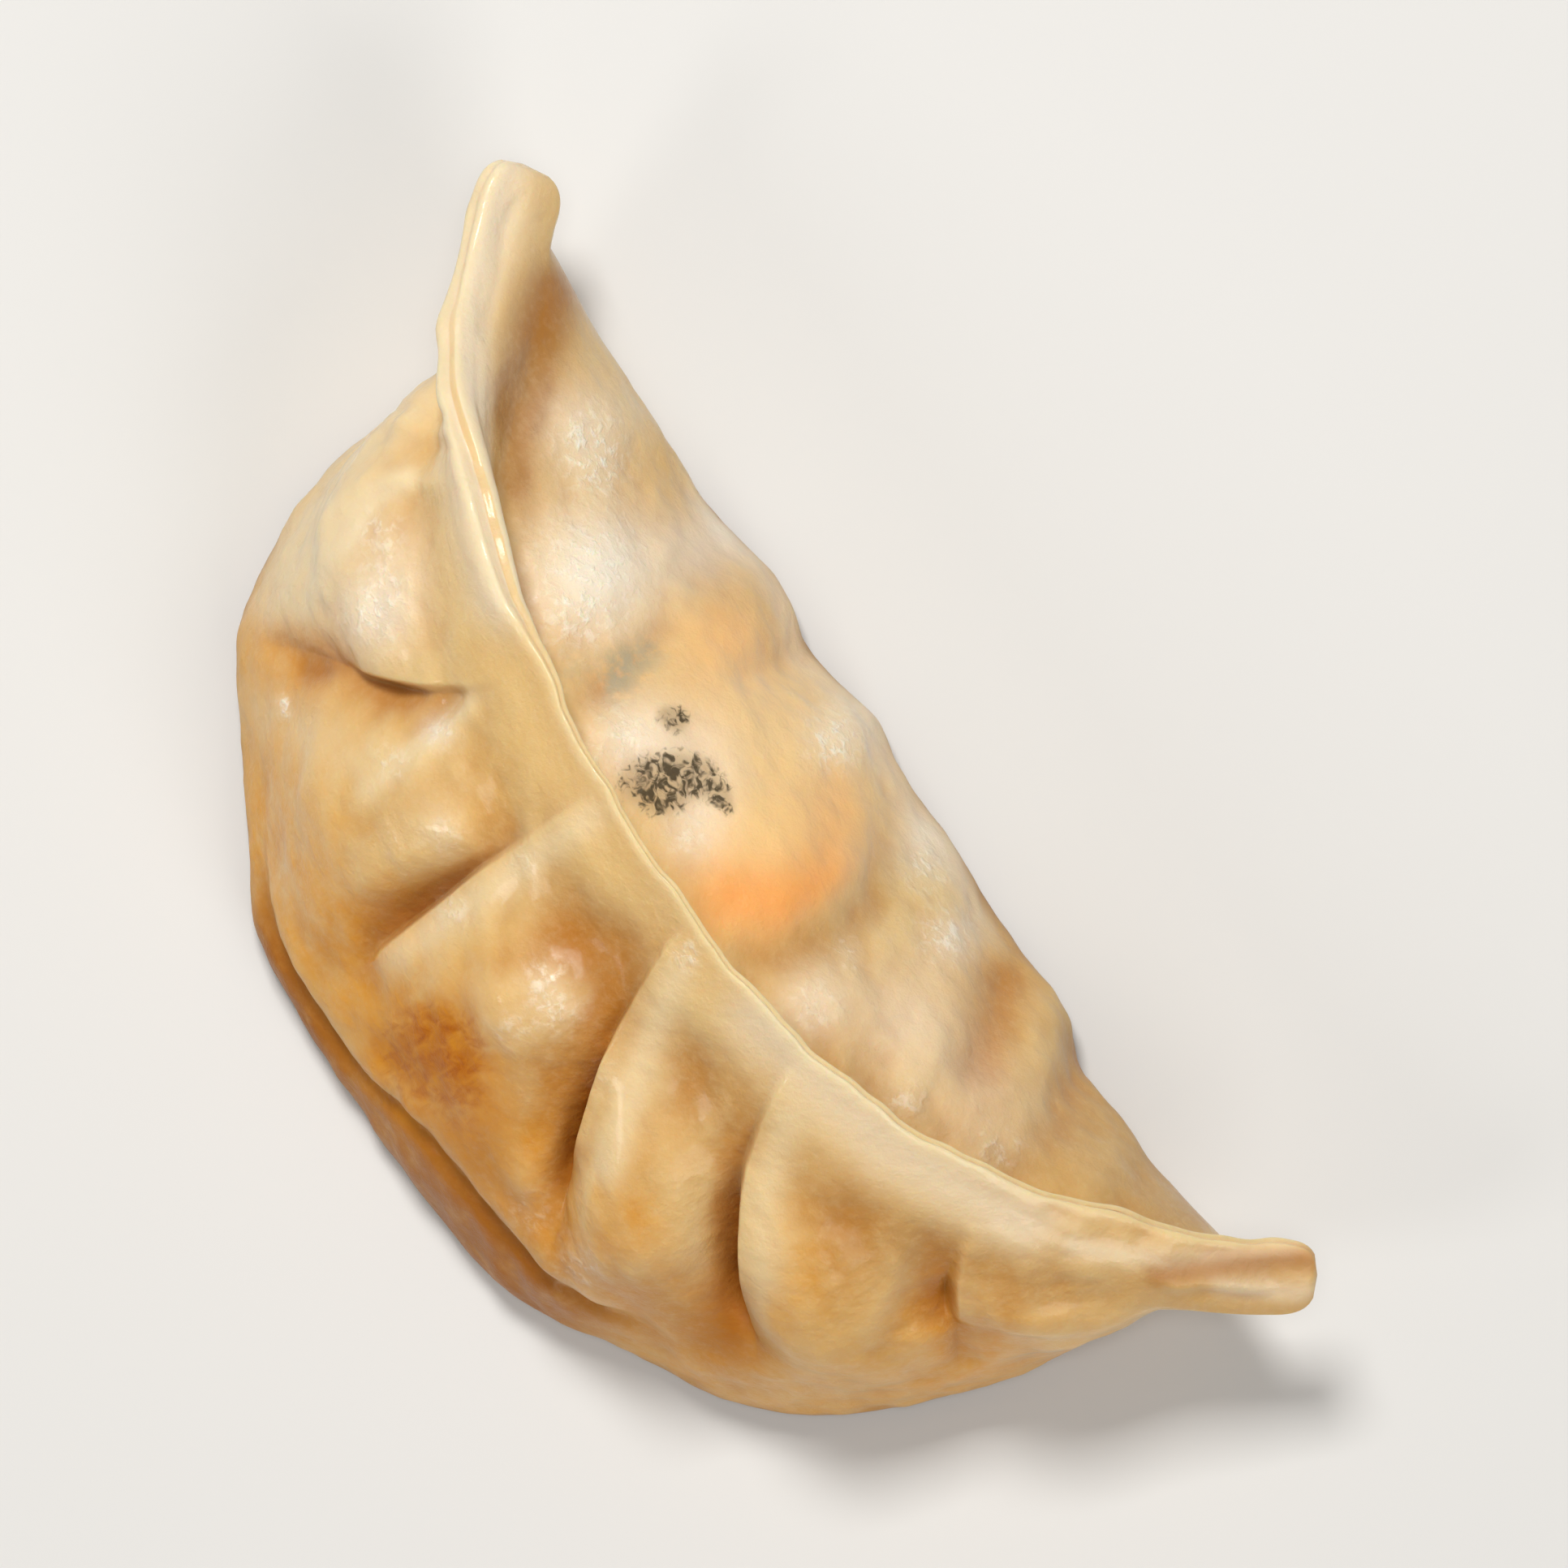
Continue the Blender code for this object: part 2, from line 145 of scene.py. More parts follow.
ROOT_HEIGHT = 21.5
ROOT_DROP = 10.8
ROOT_DROP_POWER = 2.2
KEEL_START = 23.0
KEEL_SPAN = 16.0
KEEL_RISE = 9.9
KEEL_POWER = 1.7

# The flange at stations along x: x, lean back in degrees, height, half its thickness at the edge and at the
# root, depth of the groove between its lips, and how far the root stands back. The left tongue leans forward.
FLANGE_STATIONS = np.array((
    (-40.0, -46.0, 4.0, 0.85, 1.25, 0.06, 1.3),
    (-35.0, -46.0, 4.1, 0.95, 1.70, 0.08, 1.4),
    (-31.5, -26.0, 4.3, 1.05, 1.60, 0.12, 0.9),
    (-27.5, 10.0, 4.9, 1.20, 1.50, 0.20, 0.1),
    (-22.0, 27.0, 5.2, 1.10, 1.40, 0.22, 0.0),
    (-17.0, 40.0, 5.4, 0.60, 1.20, 0.06, 0.0),
    (-12.0, 42.0, 5.4, 0.45, 1.15, 0.00, 0.0),
    (4.0, 43.0, 5.45, 0.45, 1.15, 0.00, 0.0),
    (16.0, 51.0, 5.4, 0.50, 1.15, 0.08, 0.0),
    (26.0, 52.0, 5.1, 0.50, 1.15, 0.12, 0.0),
    (33.0, 56.0, 4.3, 0.55, 1.00, 0.15, 0.0),
    (40.0, 58.0, 3.7, 0.55, 0.85, 0.15, 0.0),
))
FLANGE_WAVES = ((7.9, 0.0, 0.15), (3.7, 1.1, 0.05), (2.3, 2.6, 0.03))
LIP_ROUND = 0.3
LIP_PLACE = 0.45

TONGUE_CAP_START = 38.0
TONGUE_END = 39.7
TONGUE_CENTRE = 0.45

FLANGE_FACE = ((0.98, 0.0), (0.68, 0.0), (0.33, 1.0))
FRONT_FACE = (
    (0.05, 0.975), (0.19, 0.92), (0.40, 0.80), (0.62, 0.63), (0.81, 0.43), (0.94, 0.24), (1.0, 0.12),
    (1.0, 0.035), (0.97, 0.0),
)
BACK_FACE = (
    (0.06, 0.945), (0.20, 0.895), (0.42, 0.78), (0.64, 0.61), (0.83, 0.41), (0.95, 0.23), (1.0, 0.12),
    (0.995, 0.035), (0.965, 0.0),
)
BASE_SHARES = (0.9, 0.5)


def ramp(value, start, span):
    """0 up to start, 1 from start + span, and a smooth rise between."""
    share = np.clip((value - start) / span, 0.0, 1.0)
    return share * share * (3.0 - 2.0 * share)


def before_caps(x):
    """x held at the start of the tongues' rounded ends, where the section stops changing and only shrinks."""
    return np.clip(x, -TONGUE_CAP_START, TONGUE_CAP_START)


def root_line(x):
    """The root line's y and slope at x: a power curve each side of the middle, straight in the ends."""
    held = before_caps(x)
    share = np.abs(held) / ROOT_SPAN
    slope = np.sign(x) * ROOT_SWEEP * ROOT_POWER / ROOT_SPAN * share ** (ROOT_POWER - 1.0)
    drop = np.where(x < 0.0, LEFT_TIP_DROP, RIGHT_TIP_DROP) * ramp(np.abs(x), *TIP_DROPS)
    return ROOT_MIDDLE_Y + ROOT_SWEEP * share ** ROOT_POWER + slope * (x - held) - drop, slope


def body_reach(x):
    """How far the body reaches forward and back of the root at x: a power curve with soft corners."""
    span = np.where(x < 0.0, FRONT_SPAN_LEFT, FRONT_SPAN_RIGHT)
    front = FRONT_REACH * np.clip(1.0 - (np.abs(x) / span) ** FRONT_POWER, 0.0, None)
    for place, width, height in OUTLINE_CORNERS:
        front = front + height * np.exp(-((x - place) / width) ** 2)
    back = BACK_REACH * np.clip(1.0 - (np.abs(x) / BACK_SPAN) ** BACK_POWER, 0.0, None) ** BACK_FULLNESS
    for place, width, height in BACK_CORNERS:
        back = back + height * np.exp(-((x - place) / width) ** 2)
    return front, np.clip(back, 0.0, None)


def heights(x):
    """The height of the root and of the underside at x, both power curves."""
    root = ROOT_HEIGHT - ROOT_DROP * (np.abs(x) / ROOT_SPAN) ** ROOT_DROP_POWER
    keel = KEEL_RISE * np.clip((np.abs(x) - KEEL_START) / KEEL_SPAN, 0.0, None) ** KEEL_POWER
    return root, keel


def flange_at(x, which):
    """One column of the stations at x: a cubic from each station to the next, its slope at each station the
    mean of the slopes on its two sides."""
    at, values = FLANGE_STATIONS[:, 0], FLANGE_STATIONS[:, which]
    slopes = np.gradient(values, at)
    before = np.clip(np.searchsorted(at, x, side="right") - 1, 0, len(at) - 2)
    width = at[before + 1] - at[before]
    share = (x - at[before]) / width
    low = values[before] + share * share * (3.0 - 2.0 * share) * (values[before + 1] - values[before])
    bend = slopes[before] * (1.0 - share) - slopes[before + 1] * share
    return low + share * (1.0 - share) * bend * width


def section_controls(x):
    """The control points of the section at x, as (forward, up) arrays: the groove between the lips, down the
    front of the flange and the body, across the base, and up the back to the other lip."""
    held = before_caps(x)
    root_up, keel_up = heights(held)
    front, back = body_reach(held)
    lean, edge_half, half = np.radians(flange_at(held, 1)), flange_at(held, 3), flange_at(held, 4)
    groove, back_shift = flange_at(held, 5), flange_at(held, 6)
    flange = flange_at(held, 2) + sum(size * np.cos(2.0 * np.pi * held / pitch + phase)
                                      for pitch, phase, size in FLANGE_WAVES)

    def on_flange(along, across):
        return (-np.sin(lean) * along + np.cos(lean) * across,
                root_up + np.cos(lean) * along + np.sin(lean) * across)

    def flange_side(side):
        return [on_flange(flange * up, side * (edge_half + (half - edge_half) * thick))
                for up, thick in FLANGE_FACE]

    def body_side(side, reach, face):
        outline = [(share, 0.0) for share in reversed(BASE_SHARES)] + list(reversed(face))
        return [(side * (half + reach * out), keel_up + (root_up - keel_up) * up) for out, up in outline]

    points = [on_flange(flange - groove, 0.0 * x), on_flange(flange + LIP_ROUND, LIP_PLACE * edge_half)]
    points += flange_side(1.0) + body_side(1.0, front, FRONT_FACE)[::-1]
    points += [(0.0 * x, keel_up)]
    points += body_side(-1.0, back, BACK_FACE) + flange_side(-1.0)[::-1]
    points += [on_flange(flange + LIP_ROUND, -LIP_PLACE * edge_half)]
    forward = np.array([point[0] for point in points]) - back_shift
    up = np.array([point[1] for point in points])
    centre_forward, centre_up = on_flange(flange * TONGUE_CENTRE, 0.0 * x)
    centre_forward = centre_forward - back_shift
    past = np.clip((np.abs(x) - TONGUE_CAP_START) / (TONGUE_END - TONGUE_CAP_START), 0.0, 1.0)
    cap = (1.0 - past ** 3) ** (1.0 / 3.0)
    return centre_forward + cap * (forward - centre_forward), centre_up + cap * (up - centre_up)


CONTROL_COUNT = len(section_controls(np.zeros(1))[0])
FRONT_LIP = 1
BASE_MIDDLE = 2 + len(FLANGE_FACE) + len(FRONT_FACE) + len(BASE_SHARES)
BACK_LIP = CONTROL_COUNT - 1


def spline_weights(v):
    """The weight of each control point at each v, for a closed uniform cubic B-spline."""
    distance = (v[None, :] - np.arange(CONTROL_COUNT)[:, None] + CONTROL_COUNT / 2.0) % CONTROL_COUNT
    distance = np.abs(distance - CONTROL_COUNT / 2.0)
    near = 2.0 / 3.0 - distance ** 2 + distance ** 3 / 2.0
    far = np.clip(2.0 - distance, 0.0, None) ** 3 / 6.0
    return np.where(distance < 1.0, near, far)


def smooth_surface(x, v):
    """The unpleated surface at a grid of x and a row of v: the section's point at v, across the root line."""
    weights = spline_weights(v)
    forward, up = section_controls(x)
    forward = np.einsum("kv,kcv->cv", weights, forward)
    up = np.einsum("kv,kcv->cv", weights, up)
    root_y, slope = root_line(x)
    length = np.sqrt(1.0 + slope ** 2)
    return np.stack([x + forward * slope / length, root_y - forward / length, up], axis=-1)


V_STEPS = np.linspace(0.0, CONTROL_COUNT, 3000)
MIDDLE_SECTION = smooth_surface(np.zeros((1, len(V_STEPS))), V_STEPS)[0]
WALKED = np.concatenate([[0.0], np.cumsum(np.linalg.norm(np.diff(MIDDLE_SECTION, axis=0), axis=1))])


def down_from_lips(v):
    """How far each v lies below the front lip and below the back lip, measured along the middle section."""
    at = np.interp(v, V_STEPS, WALKED)
    return at - np.interp(FRONT_LIP, V_STEPS, WALKED), np.interp(BACK_LIP, V_STEPS, WALKED) - at


# The pleats. root is where each lip crosses the root line, slant how far it moves by its lower end, cover
# the side that its covering panel lies on, soft half the width of its step, and start and end are measured
# down from the crest.
PLEATS = (
    {"root": -16.0, "slant": -4.6, "cover": -1, "height": 2.1, "start": 6.5, "end": 18.5, "soft": 0.38},
    {"root": -8.0, "slant": 1.4, "cover": 1, "height": 1.8, "start": 4.0, "end": 24.5, "soft": 0.30},
    {"root": 1.5, "slant": 8.8, "cover": 1, "height": 2.9, "start": 3.5, "end": 22.5, "soft": 0.28},
    {"root": 11.8, "slant": 7.7, "cover": 1, "height": 3.1, "start": 3.5, "end": 24.0, "soft": 0.36},
    {"root": 24.9, "slant": 2.0, "cover": 1, "height": 2.5, "start": 6.0, "end": 18.0, "soft": 0.42},
)
STILL_ENDS = (-31.0, 33.0)
PLEAT_FLANGE_SHARE = 0.12
PLEAT_GROWS = (5.0, 12.5)
PLEAT_SLANTS = (2.0, 23.0)
PLEAT_STARTS = 3.0
PLEAT_FADE = 6.0
COVER_WIDTH = 6.5
COVER_SHARE = 0.4
VALLEY_WIDTH = 5.0
VALLEY_POWER = 1.6
LIP_OVERHANG = 0.35
LIP_WIDTH = 0.8
RIM_SETTLES = (32.0, 6.0)
HOLLOW_HEIGHT = 2.6
HOLLOW_STARTS = (-0.4, 0.5)
HOLLOW_WIDTH = 3.2
HOLLOW_POWER = 1.5

PUFF = 1.9
PUFF_SINK = 0.45
PUFF_GROWS = (6.0, 9.0)
PUFF_FADES = (19.0, 9.0)


def pleat_slant(pleat, down):
    """How far the pleat's lip has moved along the root by this distance below the crest."""
    straight = np.clip((down - PLEAT_SLANTS[0]) / PLEAT_SLANTS[1], 0.0, 1.0)
    return pleat["slant"] * (0.5 * ramp(down, *PLEAT_SLANTS) + 0.5 * straight)


def slanted_columns(places, down):
    """The x of each column at each row, so that the columns run along the pleats' lips."""
    still = 0.0 * down
    settle = 1.0 - ramp(down, *RIM_SETTLES)
    ends = [-TONGUE_END, STILL_ENDS[0], *[pleat["root"] for pleat in PLEATS], STILL_ENDS[1], TONGUE_END]
    slants = [still, still, *[pleat_slant(pleat, down) * settle for pleat in PLEATS], still, still]
    before = np.clip(np.searchsorted(ends, places, side="right") - 1, 0, len(ends) - 2)
    low, high = np.array(ends)[before], np.array(ends)[before + 1]
    share = ((places - low) / (high - low))[:, None]
    moved = np.array(slants)
    return places[:, None] + moved[before] * (1.0 - share) + moved[before + 1] * share


def pleat_height(pleat, down):
    """The pleat's height this far below the crest: low on the flange, full on the face, then fading."""
    grow = PLEAT_FLANGE_SHARE + (1.0 - PLEAT_FLANGE_SHARE) * ramp(down, *PLEAT_GROWS)
    start = ramp(down, pleat["start"] - PLEAT_STARTS, PLEAT_STARTS)
    fade = 1.0 - ramp(down, pleat["end"] - PLEAT_FADE, PLEAT_FADE)
    return pleat["height"] * grow * start * fade


def pleat_relief(x, down):
    """The pleats' rise off the smooth surface, their slide along it, and how deep each place lies in a fold.
    Each panel climbs to a lip that overhangs a valley in the panel that it covers."""
    rise, slide, hollow = np.zeros_like(x), np.zeros_like(x), np.zeros_like(x)
    for pleat in PLEATS:
        height = pleat_height(pleat, down)
        past = -(x - pleat["root"] - pleat_slant(pleat, down)) * pleat["cover"]
        covered = ramp(past, -pleat["soft"], 2.0 * pleat["soft"])
        panel = COVER_SHARE * (1.0 - ramp(-past, 0.0, COVER_WIDTH))
        valley = (1.0 - COVER_SHARE) * (1.0 - ramp(past, 0.0, VALLEY_WIDTH)) ** VALLEY_POWER
        rise += height * ((1.0 - covered) * panel - covered * valley)
        lip = np.exp(-((past + pleat["soft"]) / LIP_WIDTH) ** 2)
        slide -= pleat["cover"] * LIP_OVERHANG * np.minimum(height, 1.0) * lip
        narrowing = (1.0 - ramp(past, 0.0, HOLLOW_WIDTH)) ** HOLLOW_POWER
        hollow += height / HOLLOW_HEIGHT * ramp(past, *HOLLOW_STARTS) * narrowing
    return rise, slide, np.clip(hollow, 0.0, 1.0)


def panel_puff(places, down):
    """How far each panel puffs out, fullest half way between the pleats beside it."""
    ends = np.array([-ROOT_SPAN, *[pleat["root"] for pleat in PLEATS], ROOT_SPAN])
    panel = np.clip(np.searchsorted(ends, places, side="right") - 1, 0, len(ends) - 2)
    share = np.clip((places - ends[panel]) / (ends[panel + 1] - ends[panel]), 0.0, 1.0)
    arch = 4.0 * share * (1.0 - share)
    return PUFF * (arch[:, None] - PUFF_SINK) * ramp(down, *PUFF_GROWS) * (1.0 - ramp(down, *PUFF_FADES))


# Soft bumps and dents that the filling presses into the dough, seen from above: x, y, radius and height.
FRONT_LUMPS = (
    (-24.5, -19.8, 4.6, 0.9), (-0.5, -26.0, 3.6, 1.2), (-12.0, -25.0, 3.0, 0.5), (14.0, -31.0, 4.5, 0.7),
    (19.0, -21.5, 4.0, 0.6), (-20.0, -30.5, 5.0, 0.5), (-0.5, -21.3, 3.0, -0.9), (-26.0, -28.5, 3.0, 0.35),
    (8.5, -21.0, 3.0, -0.6), (21.2, -27.6, 1.7, -0.7), (8.9, -30.4, 1.3, -0.6), (-16.0, -29.0, 2.4, 0.35),
    (-29.0, -15.8, 1.5, -0.25),
)
BACK_LUMPS = (
    (-18.3, -9.3, 4.2, 1.3), (-7.0, -9.5, 5.6, 1.5), (1.2, -10.2, 3.9, 1.3), (9.5, -13.0, 2.6, 0.8),
    (19.5, -8.6, 3.6, 0.6), (22.0, -3.6, 2.6, -0.5), (-26.3, -5.2, 3.6, 0.6), (-12.7, -4.0, 2.6, 0.5),
    (-2.4, -3.6, 2.2, 0.6), (28.0, -5.0, 3.0, 0.4), (-12.9, -12.5, 2.0, -0.3),
)
# Soft ridges and grooves along paths seen from above: the path, its width and its height.
FRONT_CREASES = (
    (((-27.6, -14.0), (-29.1, -16.4), (-28.3, -19.6), (-25.8, -22.0)), 0.8, 0.5),
    (((-29.0, -12.4), (-30.6, -14.4)), 0.5, -0.25), (((-30.4, -11.6), (-31.6, -13.2)), 0.5, -0.2),
    (((-16.9, -20.0), (-16.5, -23.3)), 0.5, -0.3), (((-15.6, -19.8), (-14.9, -23.3)), 0.6, 0.3),
    (((4.8, -25.6), (6.2, -28.6), (8.0, -32.4)), 1.0, 0.55), (((-10.3, -24.5), (-11.2, -29.5)), 1.4, 0.35),
    (((16.0, -28.0), (12.5, -33.0)), 1.6, 0.3), (((25.3, -17.0), (27.2, -21.5)), 1.2, -0.3),
    (((-22.8, -25.9), (-25.5, -26.6)), 0.8, -0.4),
)
BACK_CREASES = (
    (((10.0, -4.3), (13.3, -7.6), (15.8, -10.7)), 1.8, 0.6),
    (((14.8, -3.8), (16.4, -6.0), (17.4, -7.6)), 1.6, -0.8),
    (((4.2, -4.4), (6.6, -7.0), (7.0, -10.0), (5.6, -14.0)), 1.9, -0.45),
    (((1.6, -4.6), (3.6, -7.2), (4.0, -10.0), (3.0, -13.5)), 1.4, 0.3),
    (((-34.0, -1.8), (-30.5, -4.6), (-27.8, -7.6)), 1.6, -0.6), (((-8.0, -2.6), (-8.6, -6.2)), 1.2, -0.4),
    (((20.8, -2.4), (23.0, -6.4)), 1.5, -0.35), (((28.0, -2.5), (29.5, -6.5)), 1.4, -0.3),
    (((-13.2, -8.5), (-12.4, -13.2)), 1.2, -0.4),
)
TONGUE_CREASES = (
    (((-38.3, -0.2), (-37.3, -2.2), (-35.5, -3.7), (-33.0, -6.5)), 0.4, -0.22),
    (((33.3, -7.2), (35.4, -4.0), (37.6, -1.4)), 0.45, 0.22),
    (((34.3, -7.0), (36.3, -4.0), (38.2, -2.0)), 0.4, -0.22),
)
# Upright folds along the foot of the back: where along x, the width and the height.
BACK_FOOT = (
    (-12.0, 3.2, 0.55), (-7.4, 2.3, -0.45), (-2.1, 2.6, 0.5), (5.0, 3.6, 0.25), (10.8, 2.4, -0.55),
    (17.0, 3.2, 0.5), (26.0, 4.0, -0.2),
)
BACK_FOOT_GROWS = (14.0, 10.0)

RIM_CREASE = 0.7
RIM_WIDTH = 0.9
RIM_DOWN_LEFT = 30.6
RIM_DOWN_RIGHT = 27.4
RIM_CLIMBS = (-5.0, 9.0)
RIM_STARTS = (-14.0, 5.0)
RIM_ENDS = (-17.0, 6.0)
RIM_LEDGE = 0.45
RIM_LEDGE_UP = 2.0
RIM_LEDGE_WIDTH = 1.5

RELIEF_OFF_PLATE = 3.0
RELIEF_END = 36.5
RELIEF_FADE = 6.5


def spots(points, places):
    """The sum of soft round spots placed as seen from above: each is its height times
    exp(-(distance / radius) squared)."""
    total = np.zeros(points.shape[:-1])
    for x, y, radius, height in places:
        away = ((points[..., 0] - x) ** 2 + (points[..., 1] - y) ** 2) / radius ** 2
        total += height * np.exp(-away)
    return total


def creases(points, paths):
    """The sum of soft ridges and grooves: each is its height times exp(-(distance / width) squared), with the
    distance to the nearest stretch of its path."""
    total = np.zeros(points.shape[:-1])
    for path, width, height in paths:
        nearest = np.full(points.shape[:-1], np.inf)
        for start, end in zip(np.array(path[:-1]), np.array(path[1:])):
            reach = end - start
            share = np.clip((points[..., :2] - start) @ reach / (reach @ reach), 0.0, 1.0)
            gap = points[..., :2] - start - share[..., None] * reach
            nearest = np.minimum(nearest, (gap ** 2).sum(axis=-1))
        total += height * np.exp(-nearest / width ** 2)
    return total


def rim_centre(x):
    """How far below the crest the crease over the seared rim runs, and where along the front it shows."""
    along = ramp(x, *RIM_STARTS) * ramp(-x, *RIM_ENDS)
    return RIM_DOWN_LEFT + (RIM_DOWN_RIGHT - RIM_DOWN_LEFT) * ramp(x, *RIM_CLIMBS), along


def rim_relief(x, down):
    """The crease above the seared rim along the middle of the front, with a soft ledge over it."""
    centre, along = rim_centre(x)
    crease = np.exp(-((down - centre) / RIM_WIDTH) ** 2)
    ledge = np.exp(-((down - centre + RIM_LEDGE_UP) / RIM_LEDGE_WIDTH) ** 2)
    return along * RIM_CREASE * (RIM_LEDGE * ledge - crease)


def back_foot(x, down):
    """Soft upright folds along the foot of the back face: height times exp(-(distance / width) squared)."""
    fold = sum(height * np.exp(-((x - place) / width) ** 2) for place, width, height in BACK_FOOT)
    return fold * ramp(down, *BACK_FOOT_GROWS)


def unevenness(points, size, seed, waves=14):
    """A soft random field of about -1 to 1: the mean of sine waves of this length in random directions."""
    random = np.random.default_rng(seed)
    heading = random.normal(size=(waves, 3))
    heading /= np.linalg.norm(heading, axis=1, keepdims=True)
    pitch = size * random.uniform(0.7, 1.5, waves)
    start = random.uniform(0.0, 2.0 * np.pi, waves)
    total = np.zeros(points.shape[:-1])
    for way, length, phase in zip(heading, pitch, start):
        total += np.sin(2.0 * np.pi * (points @ way) / length + phase)
    return total / math.sqrt(waves)


# Small blisters that the steam raises: the middle of each patch, its two radii, how many and their height.
BLISTER_PATCHES = (
    (-23.0, -20.5, 4.2, 3.4, 30, 0.11), (-12.5, -25.0, 3.0, 4.5, 26, 0.12),
    (0.0, -26.0, 3.2, 2.6, 24, 0.12), (13.0, -27.0, 4.5, 3.5, 16, 0.07), (22.0, -18.5, 4.0, 3.0, 12, 0.06),
    (-26.0, -5.5, 3.0, 2.2, 16, 0.11), (-17.5, -9.5, 3.4, 3.2, 18, 0.09), (-4.0, -8.5, 5.0, 3.8, 20, 0.07),
    (10.0, -12.0, 3.0, 2.4, 12, 0.08), (20.0, -8.0, 6.0, 3.0, 14, 0.06),
)
LONE_BLISTER = (-22.2, -28.4, 0.45, 0.28)
BLISTER_RADIUS = (0.35, 0.95)
BLISTER_SHARES = (0.4, 1.2)
BLISTER_SPREAD = 0.55
BLISTER_SEED = 41


def blisters():
    """Spots scattered in each patch with a normal spread, of random radius, some a little lower."""
    random = np.random.default_rng(BLISTER_SEED)
    placed = [LONE_BLISTER]
    for x, y, wide, deep, count, height in BLISTER_PATCHES:
        at = random.normal(size=(count, 2)) * BLISTER_SPREAD
        radius = random.uniform(*BLISTER_RADIUS, count)
        tall = height * random.uniform(*BLISTER_SHARES, count)
        placed += list(zip(x + wide * at[:, 0], y + deep * at[:, 1], radius, tall))
    return placed


# Streaks along the flange and soft lumps on the tongues, in millimetres.
STREAK_PITCH = 1.35
STREAK_SIZE = 0.018
STREAKS_START = (17.0, 10.0)
STREAKS_END = (4.5, 2.0)
STREAK_BEND = 2.2
STREAK_BEND_SIZE = 5.0
STREAK_BEND_SEED = 17
STREAK_STRETCH = np.array([0.35, 1.0, 1.0])
TONGUE_LUMPS = 0.07
TONGUE_LUMP_SIZE = 2.4
TONGUE_LUMP_SEED = 29
TONGUE_LUMPS_START = (24.0, 10.0)


def flange_streaks(points, x, down):
    """Fine wrinkles that run along the flange towards the tongues: a wave across it, bent by unevenness."""
    bend = STREAK_BEND * unevenness(points * STREAK_STRETCH, STREAK_BEND_SIZE, STREAK_BEND_SEED)
    wave = np.cos(2.0 * np.pi * down / STREAK_PITCH + bend)
    lumps = TONGUE_LUMPS * unevenness(points, TONGUE_LUMP_SIZE, TONGUE_LUMP_SEED)
    lumps = lumps * ramp(np.abs(x), *TONGUE_LUMPS_START)
    streaked = STREAK_SIZE * wave * ramp(np.abs(x), *STREAKS_START)
    return (streaked + lumps) * (1.0 - ramp(down, *STREAKS_END))


def unit(vectors):
    """The vectors at length 1."""
    return vectors / np.maximum(np.linalg.norm(vectors, axis=-1, keepdims=True), 1e-9)


def spread(low, high, count, density):
    """count places from low to high, closer together where density is greater."""
    fine = np.linspace(low, high, 6000)
    weight = density(fine)
    share = np.concatenate([[0.0], np.cumsum((weight[1:] + weight[:-1]) / 2.0)])
    return np.interp(np.linspace(0.0, share[-1], count), share, fine)


# The grid: its columns run across the root line from tip to tip, its rows round the section from the groove.
COLUMNS = 380
ROWS = 256
LIP_COLUMNS = 3.5
LIP_COLUMNS_WIDTH = 0.7
TONGUE_COLUMNS = 1.5
TONGUE_COLUMNS_START = (36.0, 3.0)
EDGE_ROWS = 2.2
EDGE_ROWS_WIDTH = 2.0
BASE_ROWS_LESS = 0.82
BASE_ROWS_WIDTH = 2.4


def column_density(x):
    """More columns at the pleats' lips and at the tongues."""
    lips = sum(np.exp(-((x - pleat["root"]) / LIP_COLUMNS_WIDTH) ** 2) for pleat in PLEATS)
    return 1.0 + LIP_COLUMNS * lips + TONGUE_COLUMNS * ramp(np.abs(x), *TONGUE_COLUMNS_START)


def row_density(v):
    """Rows evenly spaced along the section, more round the lips and fewer under the base."""
    speed = np.interp(v, V_STEPS, np.gradient(WALKED, V_STEPS))
    lips = np.exp(-(np.minimum(v, CONTROL_COUNT - v) / EDGE_ROWS_WIDTH) ** 2)
    base = np.exp(-((v - BASE_MIDDLE) / BASE_ROWS_WIDTH) ** 2)
    return (speed + EDGE_ROWS * lips) * (1.0 - BASE_ROWS_LESS * base)


places = spread(-TONGUE_END, TONGUE_END, COLUMNS + 2, column_density)
v_rows = spread(0.0, CONTROL_COUNT, ROWS + 1, row_density)[:-1]

CAVITY_REACHES = (0.9, 2.0)
CAVITY_FULL = 0.32


def hollowness(points, facing):
    """How far the points a little way off, on four sides and at two distances, stand out past each point."""
    total = np.zeros(points.shape[:-1])
    walked = np.interp(v_rows, V_STEPS, WALKED)
    around = np.concatenate([walked - WALKED[-1], walked, walked + WALKED[-1]])
    row_numbers = np.arange(3 * ROWS) % ROWS
    for reach in CAVITY_REACHES:
        for way in (-reach, reach):
            at = np.interp(places + way, places, np.arange(len(places)))
            low = np.clip(at.astype(int), 0, len(places) - 2)
            share = (at - low)[:, None, None]
            beside = points[low] * (1.0 - share) + points[low + 1] * share
            total += ((beside - points) * facing).sum(axis=-1)
            at = np.interp(walked + way, around, np.arange(3 * ROWS))
            low = at.astype(int)
            share = (at - low)[:, None]
            below = points[:, row_numbers[low]] * (1.0 - share) + points[:, row_numbers[low + 1]] * share
            total += ((below - points) * facing).sum(axis=-1)
    return total / (4.0 * len(CAVITY_REACHES))


# Where the relief of the back starts below its lip, and that of the body below the flange. The fine relief
# ends before the tips. The skin's waves are height, length and seed.
BACK_STARTS = (2.5, 4.5)
FLANGE_GIVES_WAY = (3.0, 4.0)
FINE_END = 39.4
FINE_FADE = 2.0
SKIN_WAVES = ((0.08, 3.6, 5), (0.035, 1.5, 8))

